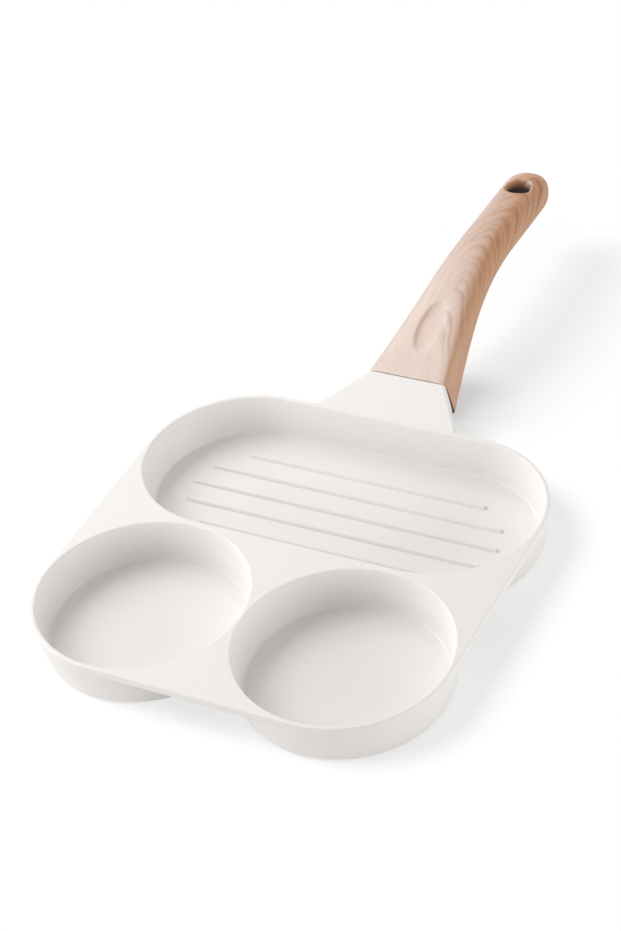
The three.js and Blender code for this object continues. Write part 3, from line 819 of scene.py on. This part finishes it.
def add(tree, kind, inputs=None, **settings):
    """Adds a node. An input is a value, or the output that feeds it."""
    node = tree.nodes.new(kind)
    for name, value in settings.items():
        setattr(node, name, value)
    for name, value in (inputs or {}).items():
        if isinstance(value, bpy.types.NodeSocket):
            tree.links.new(value, node.inputs[name])
        else:
            node.inputs[name].default_value = value
    return node


def sums(tree, operation, *values, clamp=False):
    """The result of a sum on values or outputs."""
    node = add(tree, "ShaderNodeMath", dict(enumerate(values)), operation=operation, use_clamp=clamp)
    return node.outputs[0]


def vectors(tree, operation, *values):
    """The outputs of a sum on vectors."""
    return add(tree, "ShaderNodeVectorMath", dict(enumerate(values)), operation=operation).outputs


def blend_colours(tree, share, first, second):
    """Two colours mixed by a share."""
    factor, colour_a, colour_b, result = 0, 6, 7, 2
    inputs = {factor: share, colour_a: first, colour_b: second}
    return add(tree, "ShaderNodeMix", inputs, data_type="RGBA").outputs[result]


def ramp(tree, value, low, high):
    """A value spread from 0 at low to 1 at high, smoothly."""
    inputs = {"Value": value, "From Min": low, "From Max": high}
    return add(tree, "ShaderNodeMapRange", inputs, interpolation_type="SMOOTHSTEP").outputs["Result"]


def fade(tree, value, low, high):
    """A value spread from 1 at low to 0 at high, smoothly."""
    return sums(tree, "SUBTRACT", 1.0, ramp(tree, value, low, high))


def noise(tree, place, scale, detail=2.0):
    """Even noise from 0 to 1 at a place."""
    inputs = {"Vector": place, "Scale": scale, "Detail": detail}
    return add(tree, "ShaderNodeTexNoise", inputs).outputs["Fac"]


def noise_along(tree, distance, scale):
    """Even noise from 0 to 1 along one distance."""
    inputs = {"W": distance, "Scale": scale}
    return add(tree, "ShaderNodeTexNoise", inputs, noise_dimensions="1D").outputs["Fac"]


def stretched(tree, place, squeeze):
    """Places squeezed along the handle, which stretches a pattern on them that way."""
    inputs = {"Vector": place, "Scale": (1.0, squeeze, 1.0)}
    return add(tree, "ShaderNodeMapping", inputs).outputs["Vector"]


def centre_line_distance(tree, lengthwise, crosswise, straight):
    """How far each place lies from a centre, or from the straight line through it."""
    past = sums(tree, "SUBTRACT", sums(tree, "ABSOLUTE", lengthwise), straight / 2)
    past = sums(tree, "MAXIMUM", past, 0.0)
    squares = sums(tree, "MULTIPLY_ADD", past, past, sums(tree, "MULTIPLY", crosswise, crosswise))
    return sums(tree, "SQRT", squares)


def new_finish(name):
    """An empty material, its node tree and its shader."""
    finish = bpy.data.materials.new(name)
    finish.use_nodes = True
    tree = finish.node_tree
    return finish, tree, tree.nodes["Principled BSDF"]


def opaque(rgb):
    """A colour that covers fully, as a node takes it."""
    return (*rgb, 1.0)


def shaded(rgb, share):
    """A darker shade of a colour."""
    return [part * share for part in rgb]


def paint(tree, shader, tint, pattern, smoothest, spread):
    """Feeds the shader a colour, and a roughness that follows a pattern."""
    roughness = sums(tree, "MULTIPLY_ADD", pattern, spread, smoothest)
    tree.links.new(tint, shader.inputs["Base Color"])
    tree.links.new(roughness, shader.inputs["Roughness"])


def bump(tree, shader, height, strength, distance):
    """Feeds a height to the shader's normal."""
    inputs = {"Height": height, "Strength": strength, "Distance": distance}
    normal = add(tree, "ShaderNodeBump", inputs).outputs["Normal"]
    tree.links.new(normal, shader.inputs["Normal"])


def cream_coating(finishes):
    """Matte cream non-stick coating with a sprayed grain and fine specks."""
    speck_scale, speck_rim, speck_choice, speck_depth = 620.0, (0.12, 0.30), (0.55, 0.75), 0.24
    cloud_scale, cloud_depth = 28.0, 0.05
    grain_scale, grain_detail, grain_strength, grain_height = 1500.0, 3.0, 0.12, 0.1 * MM
    smoothest, spread, gloss = 0.5, 0.12, 0.4
    cream, speck = opaque(finishes.cream), opaque(finishes.cream_speck)
    finish, tree, shader = new_finish("cream_coating")
    place = add(tree, "ShaderNodeTexCoord").outputs["Object"]
    cells = add(tree, "ShaderNodeTexVoronoi", {"Vector": place, "Scale": speck_scale}).outputs
    pick = add(tree, "ShaderNodeSeparateColor", {"Color": cells["Color"]}).outputs["Red"]
    dots = fade(tree, cells["Distance"], *speck_rim)
    specks = sums(tree, "MULTIPLY", dots, ramp(tree, pick, *speck_choice))
    clouds = noise(tree, place, cloud_scale)
    grain = noise(tree, place, grain_scale, grain_detail)
    tint = blend_colours(tree, sums(tree, "MULTIPLY", specks, speck_depth), cream, speck)
    tint = blend_colours(tree, sums(tree, "MULTIPLY", clouds, cloud_depth), tint, speck)
    paint(tree, shader, tint, grain, smoothest, spread)
    shader.inputs["Specular IOR Level"].default_value = gloss
    bump(tree, shader, grain, grain_strength, grain_height)
    return finish


def wood_effect(pan):
    """Satin wood-effect film: uneven growth arches that point to the tip, fine fibres and a warmer tail,
    with painted shade on the flanks, deep in the hang hole and on the end at the neck.
    """
    fibre_scale, fibre_detail, fibre_squeeze = 1300.0, 3.0, 0.03
    fibre_range, fibre_depth, fibre_strength, fibre_height = (0.45, 0.8), 0.24, 0.1, 0.08 * MM
    smoothest, spread, gloss = 0.4, 0.14, 0.4
    finishes = pan.finishes
    finish, tree, shader = new_finish("wood_effect")
    source = add(tree, "ShaderNodeTexCoord").outputs
    spot = add(tree, "ShaderNodeSeparateXYZ", {"Vector": source["Object"]}).outputs
    facing = add(tree, "ShaderNodeSeparateXYZ", {"Vector": source["Normal"]}).outputs["X"]
    unbent = unbent_place(tree, spot)
    lines = growth_lines(tree, growth_field(tree, spot, unbent))
    rings = sums(tree, "MULTIPLY", lines, ring_strength(tree, spot, unbent))
    fibres = noise(tree, stretched(tree, unbent, fibre_squeeze), fibre_scale, fibre_detail)
    fine = sums(tree, "MULTIPLY", ramp(tree, fibres, *fibre_range), fibre_depth)
    tint = wood_ground(tree, finishes, spot, facing)
    for share in (rings, fine):
        tint = blend_colours(tree, share, tint, opaque(finishes.wood_line))
    # painted shade deep in the hang hole and on the end at the neck
    tint = blend_colours(tree, hole_and_seam_shade_mask(tree, pan, spot), tint, opaque(finishes.hole_and_seam_shade))
    paint(tree, shader, tint, fibres, smoothest, spread)
    shader.inputs["Specular IOR Level"].default_value = gloss
    bump(tree, shader, fibres, fibre_strength, fibre_height)
    return finish


def wood_ground(tree, finishes, spot, facing):
    """The colour under the rings: pale at the neck and warmer on the tail; faces that turn right are painted
    darker and warmer, partly a warmer wood tone and partly painted shade, and faces that turn left are
    dulled with painted shade.
    """
    tail_run, off_left, to_right, to_left = (0.1, 0.25), (-0.8, 0.2), (0.0, 0.8), (0.0, 0.6)
    tail_warmth, tail_gain, right_warmth_and_shade, left_shade_depth = 0.35, 0.45, 0.9, 0.6
    tail = sums(tree, "MULTIPLY_ADD", ramp(tree, facing, *off_left), tail_gain, tail_warmth)
    tail = sums(tree, "MULTIPLY", tail, ramp(tree, spot["Y"], *tail_run))
    # partly painted shade, partly a warmer wood tone: faces that turn right are darker and warmer
    right = ramp(tree, facing, *to_right)
    warm_and_shade_share = sums(tree, "MULTIPLY_ADD", right, right_warmth_and_shade, tail, clamp=True)
    warmed_and_shaded = blend_colours(tree, warm_and_shade_share, opaque(finishes.wood_pale), opaque(finishes.wood_warm_and_side_shade))
    # painted shade: faces that turn left are duller, most where they turn fully left
    left = ramp(tree, sums(tree, "MULTIPLY", facing, -1.0), *to_left)
    left_shade = sums(tree, "MULTIPLY", left, left_shade_depth)
    return blend_colours(tree, left_shade, warmed_and_shaded, opaque(finishes.wood_flank_shade))


def ring_strength(tree, spot, unbent):
    """How strongly the growth rings show: in patches, more on the tail and the right, less at the neck."""
    tail_run, right_run, neck_run = (0.12, 0.23), (0.0, 12 * MM), (0.085, 0.12)
    plain, tail_gain, right_gain = 0.06, 0.52, 0.55
    patch_scale, patch_range, patch_least, neck_least = 70.0, (0.25, 0.65), 0.3, 0.25
    tail = sums(tree, "MULTIPLY_ADD", ramp(tree, spot["Y"], *tail_run), tail_gain, plain)
    strength = sums(tree, "MULTIPLY_ADD", ramp(tree, spot["X"], *right_run), right_gain, tail)
    patches = ramp(tree, noise(tree, unbent, patch_scale), *patch_range)
    past_neck = ramp(tree, spot["Y"], *neck_run)
    for share, least in ((patches, patch_least), (past_neck, neck_least)):
        kept = sums(tree, "MULTIPLY_ADD", share, 1 - least, least)
        strength = sums(tree, "MULTIPLY", strength, kept)
    return strength


def unbent_place(tree, spot):
    """Places on the handle with its arch straightened out."""
    crest_y, crest_z, fall = 0.195, 0.042, 1.95
    off_crest = sums(tree, "SUBTRACT", spot["Y"], crest_y)
    sag = sums(tree, "MULTIPLY", sums(tree, "MULTIPLY", off_crest, off_crest), fall)
    lift = sums(tree, "ADD", sums(tree, "SUBTRACT", spot["Z"], crest_z), sag)
    inputs = {"X": spot["X"], "Y": spot["Y"], "Z": lift}
    return add(tree, "ShaderNodeCombineXYZ", inputs).outputs["Vector"]


def growth_field(tree, spot, unbent):
    """Distance through the growth rings: nested arches whose legs run back towards the neck."""
    heart, crosswise = (5 * MM, 0.0, 7 * MM), (1.0, 0.0, 1.0)
    leg_slope, apex_round = 3.2, 5 * MM
    wander, wander_scale, wander_squeeze = 26 * MM, 45.0, 0.35
    ripple, ripple_scale = 5 * MM, 150.0
    from_heart = vectors(tree, "SUBTRACT", unbent, heart)["Vector"]
    flat = vectors(tree, "MULTIPLY", from_heart, crosswise)["Vector"]
    reach = vectors(tree, "LENGTH", flat)["Value"]
    rounded = sums(tree, "SQRT", sums(tree, "MULTIPLY_ADD", reach, reach, apex_round ** 2))
    arches = sums(tree, "MULTIPLY_ADD", rounded, leg_slope, spot["Y"])
    slow = noise(tree, stretched(tree, unbent, wander_squeeze), wander_scale)
    drifted = sums(tree, "MULTIPLY_ADD", slow, wander, arches)
    return sums(tree, "MULTIPLY_ADD", noise(tree, unbent, ripple_scale), ripple, drifted)


def growth_lines(tree, growth):
    """Rings of uneven width and strength, each darkening slowly and ending sharply."""
    spacing, unevenness, drift_scale = 7 * MM, 11 * MM, 60.0
    darkening, ending = (0.15, 0.85), (0.9, 1.0)
    weight_scale, weight_range = 90.0, (0.25, 0.6)
    drift = noise_along(tree, growth, drift_scale)
    phase = sums(tree, "DIVIDE", sums(tree, "MULTIPLY_ADD", drift, unevenness, growth), spacing)
    within = sums(tree, "FRACT", phase)
    dark = sums(tree, "MULTIPLY", ramp(tree, within, *darkening), fade(tree, within, *ending))
    weight = ramp(tree, noise_along(tree, growth, weight_scale), *weight_range)
    return sums(tree, "MULTIPLY", dark, weight)


def hole_and_seam_shade_mask(tree, pan, spot):
    """Where painted shade darkens the handle: deep in the hang hole and on the end that meets the neck, at
    the seam.
    """
    shade_wall, shade_fade_wall = 0.2 * MM, 0.8 * MM
    shade_start_depth, shade_full_depth = 3 * MM, 6.5 * MM
    shade_end, shade_fade_end = 0.02 * MM, 0.12 * MM
    handle = pan.handle
    hole = pan.on_handle(handle.full_length - handle.hang_inset).to_translation()
    straight = handle.hang_length - handle.hang_width
    lengthwise = sums(tree, "SUBTRACT", spot["Y"], hole.y)
    away = centre_line_distance(tree, lengthwise, spot["X"], straight)
    wall = handle.hang_width / 2
    inside = fade(tree, away, wall + shade_wall, wall + shade_fade_wall)
    top = hole.z + handle.grip_thickness / 2
    deep = ramp(tree, sums(tree, "SUBTRACT", top, spot["Z"]), shade_start_depth, shade_full_depth)
    forwards = pan.joint.to_3x3() @ Vector((0.0, 1.0, 0.0))
    level = sums(tree, "MULTIPLY", spot["Y"], forwards.y)
    along = sums(tree, "MULTIPLY_ADD", spot["Z"], forwards.z, level)
    start = pan.joint.to_translation().dot(forwards) + handle.seam
    end_face = fade(tree, along, start + shade_end, start + shade_fade_end)
    return sums(tree, "MAXIMUM", sums(tree, "MULTIPLY", inside, deep), end_face)


def turned_steel(name, rgb, well):
    """Steel with fine turning lines round a well's centre, or along the sides of a long one."""
    line_scale, line_shade, line_strength, line_height = 2600.0, 0.72, 0.25, 0.03 * MM
    smudge_scale, smoothest, spread = 60.0, 0.26, 0.2
    finish, tree, shader = new_finish(name)
    place = add(tree, "ShaderNodeTexCoord").outputs["Object"]
    spot = add(tree, "ShaderNodeSeparateXYZ", {"Vector": place}).outputs
    lengthwise = sums(tree, "SUBTRACT", spot["X"], well.x)
    crosswise = sums(tree, "SUBTRACT", spot["Y"], well.y)
    reach = centre_line_distance(tree, lengthwise, crosswise, well.straight)
    lines = noise_along(tree, reach, line_scale)
    tint = blend_colours(tree, lines, opaque(rgb), opaque(shaded(rgb, line_shade)))
    paint(tree, shader, tint, noise(tree, place, smudge_scale), smoothest, spread)
    shader.inputs["Metallic"].default_value = 1.0
    bump(tree, shader, lines, line_strength, line_height)
    return finish


def plated_steel(name, rgb):
    """Plated steel, a little uneven."""
    cloud_scale, cloud_detail, cloud_shade = 500.0, 3.0, 0.8
    cloud_strength, cloud_height = 0.1, 0.02 * MM
    smoothest, spread = 0.22, 0.2
    finish, tree, shader = new_finish(name)
    place = add(tree, "ShaderNodeTexCoord").outputs["Object"]
    clouds = noise(tree, place, cloud_scale, cloud_detail)
    tint = blend_colours(tree, clouds, opaque(rgb), opaque(shaded(rgb, cloud_shade)))
    paint(tree, shader, tint, clouds, smoothest, spread)
    shader.inputs["Metallic"].default_value = 1.0
    bump(tree, shader, clouds, cloud_strength, cloud_height)
    return finish


# Light

def lamp_facing(azimuth, elevation):
    """The frame of a lamp that shines on the pan from a direction."""
    turn = Matrix.Rotation(azimuth + math.pi, 4, "Z")
    return turn @ Matrix.Rotation(math.pi / 2 - elevation, 4, "X")


def soft_lamp(name, sides, power, facing, distance):
    """A flat lamp, even over its whole face, that shines on the pan from a distance."""
    lamp = bpy.data.lights.new(name, "AREA")
    lamp.shape = "RECTANGLE"
    lamp.size, lamp.size_y = sides
    lamp.energy = power
    placed = bpy.data.objects.new(name, lamp)
    placed.matrix_world = facing @ Matrix.Translation((0.0, 0.0, distance))
    return placed


def link_group(name, member, state):
    """A group that links a lamp to one object only, or to all but that one."""
    group = bpy.data.collections.new(name)
    group.objects.link(member)
    group.collection_objects[0].light_linking.link_state = state
    return group


def seen_rays(tree):
    """One where the camera looks, straight or by way of a mirror or glass."""
    path = add(tree, "ShaderNodeLightPath").outputs
    straight = sums(tree, "MAXIMUM", path["Is Camera Ray"], path["Is Glossy Ray"])
    return sums(tree, "MAXIMUM", straight, path["Is Transmission Ray"])


# Operators

class MakeCasting(bpy.types.Operator):
    """Model the casting with its deck, wells, ribs, neck and tang"""

    bl_idname = "breakfast_pan.make_casting"
    bl_label = "Casting"

    def execute(self, context):
        pan = context.scene.breakfast_pan
        casting, plates = pan.casting, pan.plates
        piece = piece_from("pan_casting", deck_slab(casting))
        combine(piece, "UNION", *[outer_tub(casting, well) for well in casting.wells])
        combine(piece, "UNION", neck_form(pan))
        combine(piece, "DIFFERENCE", *[hollow(casting, well) for well in casting.wells])
        combine(piece, "UNION", *rib_bars(casting))
        for well in casting.wells:
            pocket = plate_block(casting, plates, well, plates.gap, -OVERCUT, plates.thickness)
            combine(piece, "DIFFERENCE", move(pocket, well.place))
        combine(piece, "UNION", tang_bar(pan, -casting.neck_sink, casting.tang_length, 0.0))
        tapped = pan.fasteners.screw_radius + pan.handle.fit_gap
        reach = casting.tang_rise + casting.tang_thickness + OVERCUT
        combine(piece, "DIFFERENCE", screw_bore(pan, tapped, -reach, reach))
        bm = edit(piece)
        close(bm)
        soften_rims(casting, bm)
        put_back(piece, bm)
        hand_over(piece, "pan_body", cream_coating(pan.finishes))
        return {"FINISHED"}


class MakeHandle(bpy.types.Operator):
    """Model the handle with its thumb rest, hang hole, mortise and screw bore"""

    bl_idname = "breakfast_pan.make_handle"
    bl_label = "Handle"

    def execute(self, context):
        pan = context.scene.breakfast_pan
        handle, casting, fasteners = pan.handle, pan.casting, pan.fasteners
        piece = piece_from("handle_shell", handle_tube(pan))
        below = -handle.joint_thickness / 2 - handle.joint_belly - OVERCUT
        mortise = tang_bar(pan, -OVERCUT, casting.tang_length + handle.fit_gap, handle.fit_gap)
        shank_bore = screw_bore(pan, fasteners.screw_radius + handle.fit_gap, below, casting.tang_rise)
        combine(piece, "DIFFERENCE", mortise, shank_bore)
        self.cut_counterbore(pan, piece, below)
        self.cut_hang_hole(pan, piece)
        hand_over(piece, "handle_grip", wood_effect(pan))
        return {"FINISHED"}

    def cut_counterbore(self, pan, piece, below):
        """Sinks the bore for the screw's head and its washers."""
        radius = pan.fasteners.washer_radius + pan.fasteners.bore_clearance
        combine(piece, "DIFFERENCE", screw_bore(pan, radius, below, pan.seat_height))

    def cut_hang_hole(self, pan, piece):
        """Cuts the hang hole and rounds both its mouths."""
        handle = pan.handle
        place = pan.on_handle(handle.full_length - handle.hang_inset)
        radius = handle.hang_width / 2
        straight = handle.hang_length - handle.hang_width
        wide = radius + handle.hang_round
        depth = handle.grip_thickness
        cutter = drawn_round(straight, wide, wide, -depth, depth, 2 * BORE_SEGMENTS)
        combine(piece, "DIFFERENCE", move(cutter, place @ Matrix.Rotation(math.pi / 2, 4, "Z")))
        bm = edit(piece)
        close(bm)
        loops = round_mouths(bm, place, straight, radius, handle.hang_round)
        bmesh.ops.bridge_loops(bm, edges=loops)
        put_back(piece, bm)


class MakePlates(bpy.types.Operator):
    """Model the steel plates in the base with their rows of holes"""

    bl_idname = "breakfast_pan.make_plates"
    bl_label = "Base plates"

    def execute(self, context):
        pan = context.scene.breakfast_pan
        for well in pan.casting.wells:
            self.make_plate(pan, well)
        return {"FINISHED"}

    def make_plate(self, pan, well):
        """One plate, its edges and its holes' edges rounded."""
        plates = pan.plates
        blank = plate_block(pan.casting, plates, well, 0.0, 0.0, plates.thickness)
        piece = piece_from(f"{well.plate}_steel", blank)
        combine(piece, "DIFFERENCE", self.hole_cutter(plates, well, plates.radius(pan.casting, well)))
        bm = edit(piece)
        close(bm)
        rims = [edge for edge in sharp_edges(bm) if abs(edge.verts[0].co.z - edge.verts[1].co.z) < TOUCH]
        bevel(bm, rims, plates.edge, SMALL_EDGE_SEGMENTS)
        put_back(piece, move(bm, well.place))
        finish = turned_steel(f"{well.plate}_turned", pan.finishes.base_steel, well)
        hand_over(piece, well.plate, finish)

    def hole_cutter(self, plates, well, radius):
        """Pins for rows of holes, set so that none falls on the plate's centre."""
        bm = bmesh.new()
        depth = 4 * plates.thickness
        row_pitch = plates.hole_pitch * math.sin(math.pi / 3)
        rows = math.ceil(radius / row_pitch)
        columns = math.ceil((well.straight / 2 + radius) / plates.hole_pitch)
        for row in range(-rows, rows + 1):
            shift = 0.5 if row % 2 == 0 else 0.0
            for column in range(-columns, columns + 1):
                x, y = (column + shift) * plates.hole_pitch, row * row_pitch
                if from_centre_line(x, y, well.straight) <= radius - plates.hole_margin:
                    bmesh.ops.create_cone(
                        bm, cap_ends=True, segments=HOLE_SEGMENTS, radius1=plates.hole_radius,
                        radius2=plates.hole_radius, depth=depth, matrix=Matrix.Translation((x, y, 0.0)),
                    )
        return bm


class MakeWashers(bpy.types.Operator):
    """Model the flat washer and the split spring washer under the screw's head"""

    bl_idname = "breakfast_pan.make_washers"
    bl_label = "Washers"

    def execute(self, context):
        pan = context.scene.breakfast_pan
        sizes, gap = pan.fasteners, pan.handle.fit_gap
        finish = plated_steel("washer_plating", pan.finishes.fastener_steel)
        flat_low, lock_low, _ = sizes.stack(gap)
        flat = washer_ring(
            sizes.washer_bore, sizes.washer_radius, sizes.washer_thickness,
            0.0, 0.0, sizes.washer_edge,
        )
        lock = washer_ring(
            sizes.washer_bore, sizes.lock_radius, sizes.lock_thickness - sizes.lock_lift,
            sizes.lock_split, sizes.lock_lift, sizes.washer_edge,
        )
        for node, form, low in (("flat_washer", flat, flat_low), ("lock_washer", lock, lock_low)):
            place = pan.screw_seat @ Matrix.Translation((0.0, 0.0, low))
            hand_over(piece_from(f"{node}_plated", move(form, place)), node, finish)
        return {"FINISHED"}


class MakeScrew(bpy.types.Operator):
    """Model the screw with its rounded head, cross recess and thread"""

    bl_idname = "breakfast_pan.make_screw"
    bl_label = "Screw"

    def execute(self, context):
        pan = context.scene.breakfast_pan
        sizes, gap = pan.fasteners, pan.handle.fit_gap
        head = drawn_round(0.0, sizes.head_radius, sizes.head_radius, -sizes.head_height, 0.0, RING_SEGMENTS)
        bevel(head, edges_at(head, -sizes.head_height), sizes.head_round, FILLET_SEGMENTS)
        piece = piece_from("handle_screw_plated", head)
        root = sizes.screw_radius - sizes.thread_depth / 2
        combine(piece, "UNION", drawn_round(0.0, root, root, -OVERCUT, sizes.thread_start, RING_SEGMENTS))
        combine(piece, "UNION", thread(sizes))
        for turn in (0.0, math.pi / 2):
            slot = block(sizes.recess_span, sizes.recess_width, 2 * sizes.recess_depth)
            place = Matrix.Translation((0.0, 0.0, -sizes.head_height)) @ Matrix.Rotation(turn, 4, "Z")
            combine(piece, "DIFFERENCE", move(slot, place))
        bm = edit(piece)
        _, _, low = sizes.stack(gap)
        put_back(piece, move(bm, pan.screw_seat @ Matrix.Translation((0.0, 0.0, low))))
        finish = plated_steel("screw_plating", pan.finishes.fastener_steel)
        hand_over(piece, "handle_screw", finish)
        return {"FINISHED"}


class SetStage(bpy.types.Operator):
    """Set the white table, the soft light and the camera"""

    bl_idname = "breakfast_pan.set_stage"
    bl_label = "Stage"

    def execute(self, context):
        pan = context.scene.breakfast_pan
        context.scene.view_settings.view_transform = "Standard"
        floor = self.lay_floor(pan)
        self.light_pan(context.scene, pan.stage, floor)
        self.light_table(context.scene, pan.stage, floor)
        self.light_room(context.scene, pan.stage)
        self.set_camera(context.scene, pan.stage)
        return {"FINISHED"}

    def lay_floor(self, pan):
        """A plain white table under the pan."""
        stage, shade = pan.stage, pan.finishes.floor
        roughness, gloss = 0.9, 0.0
        bm = bmesh.new()
        bmesh.ops.create_grid(bm, x_segments=1, y_segments=1, size=stage.floor_size / 2)
        bmesh.ops.translate(bm, verts=bm.verts, vec=(0.0, 0.0, -stage.floor_gap))
        floor = piece_from("floor", bm)
        finish, tree, shader = new_finish("white_table")
        shader.inputs["Base Color"].default_value = opaque(shade)
        shader.inputs["Roughness"].default_value = roughness
        shader.inputs["Specular IOR Level"].default_value = gloss
        strength = stage.glow_strength(shade[0])
        glow = add(tree, "ShaderNodeEmission", {"Strength": strength}).outputs["Emission"]
        share = sums(tree, "MULTIPLY", seen_rays(tree), stage.table_glow)
        mixed = add(tree, "ShaderNodeMixShader", {0: share, 1: shader.outputs["BSDF"], 2: glow})
        tree.links.new(mixed.outputs["Shader"], tree.nodes["Material Output"].inputs["Surface"])
        floor.data.materials.append(finish)
        return floor

    def light_pan(self, scene, stage, floor):
        """A wide softbox on the left and low reflectors at the side and in front, for the pan alone."""
        sides = (stage.softbox_width, stage.softbox_height)
        facing = lamp_facing(stage.softbox_azimuth, stage.softbox_elevation)
        lamps = [soft_lamp("softbox", sides, stage.softbox_power, facing, stage.softbox_distance)]
        sides = (stage.reflector_width, stage.reflector_height)
        for name, azimuth, power in (
            ("side_reflector", stage.side_azimuth, stage.side_power),
            ("front_reflector", stage.front_azimuth, stage.front_power),
        ):
            facing = lamp_facing(azimuth, stage.reflector_elevation)
            lamps.append(soft_lamp(name, sides, power, facing, stage.reflector_distance))
        for lamp in lamps:
            scene.collection.objects.link(lamp)
            receivers = link_group(f"{lamp.name}_receivers", floor, "EXCLUDE")
            lamp.light_linking.receiver_collection = receivers

    def light_table(self, scene, stage, floor):
        """Two soft lamps for the table alone, which set where the shadows of casting and handle fall."""
        for name, caster, azimuth, elevation in (
            ("pan_shadow", "pan_casting", stage.pan_shadow_azimuth, stage.pan_shadow_elevation),
            ("handle_shadow", "handle_shell", stage.handle_shadow_azimuth, stage.handle_shadow_elevation),
        ):
            lamp = bpy.data.lights.new(name, "SUN")
            lamp.energy = stage.shadow_strength
            lamp.angle = stage.shadow_spread
            placed = bpy.data.objects.new(name, lamp)
            placed.matrix_world = lamp_facing(azimuth, elevation)
            scene.collection.objects.link(placed)
            receivers = link_group(f"{name}_receivers", floor, "INCLUDE")
            casters = link_group(f"{name}_casters", bpy.data.objects[caster], "INCLUDE")
            placed.light_linking.receiver_collection = receivers
            placed.light_linking.blocker_collection = casters

    def light_room(self, scene, stage):
        """Even light from all round, white where it is seen or mirrored."""
        world = bpy.data.worlds.new("white_room")
        world.use_nodes = True
        tree = world.node_tree
        spare = 1.0 - stage.fill_strength
        strength = sums(tree, "MULTIPLY_ADD", seen_rays(tree), spare, stage.fill_strength)
        backdrop = tree.nodes["Background"]
        backdrop.inputs["Color"].default_value = (1.0, 1.0, 1.0, 1.0)
        tree.links.new(strength, backdrop.inputs["Strength"])
        scene.world = world

    def set_camera(self, scene, stage):
        """The camera where the photograph was taken from."""
        lens = bpy.data.cameras.new("camera")
        lens.lens = stage.lens
        camera = bpy.data.objects.new("camera", lens)
        turn = Matrix.Rotation(stage.azimuth, 4, "Z")
        tilt = Matrix.Rotation(math.pi / 2 - stage.elevation, 4, "X")
        roll = Matrix.Rotation(stage.roll, 4, "Z")
        place = Matrix.Translation((stage.camera_x, stage.camera_y, stage.camera_z))
        camera.matrix_world = place @ turn @ tilt @ roll
        scene.collection.objects.link(camera)
        scene.camera = camera


OPERATORS = (MakeCasting, MakeHandle, MakePlates, MakeWashers, MakeScrew, SetStage)


class BreakfastPanPanel(bpy.types.Panel):
    """The pan's operators in the sidebar"""

    bl_idname = "VIEW3D_PT_breakfast_pan"
    bl_label = "Breakfast Pan"
    bl_space_type = "VIEW_3D"
    bl_region_type = "UI"
    bl_category = "Breakfast Pan"

    def draw(self, context):
        for operator in OPERATORS:
            self.layout.operator(operator.bl_idname)


GROUPS = (CastingSizes, HandleSizes, PlateSizes, FastenerSizes, Finishes, StageSettings, BreakfastPan)
CLASSES = (*GROUPS, *OPERATORS, BreakfastPanPanel)


def register():
    """Makes the classes and the pan's settings known."""
    for kind in CLASSES:
        bpy.utils.register_class(kind)
    bpy.types.Scene.breakfast_pan = group_of("Breakfast pan", "All settings of the pan", BreakfastPan)


def unregister():
    """Takes the settings and the classes away again."""
    del bpy.types.Scene.breakfast_pan
    for kind in reversed(CLASSES):
        bpy.utils.unregister_class(kind)


def main():
    """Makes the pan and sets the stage."""
    register()
    bpy.ops.breakfast_pan.make_casting()
    bpy.ops.breakfast_pan.make_handle()
    bpy.ops.breakfast_pan.make_plates()
    bpy.ops.breakfast_pan.make_washers()
    bpy.ops.breakfast_pan.make_screw()
    bpy.ops.breakfast_pan.set_stage()


if __name__ == "__main__":
    main()
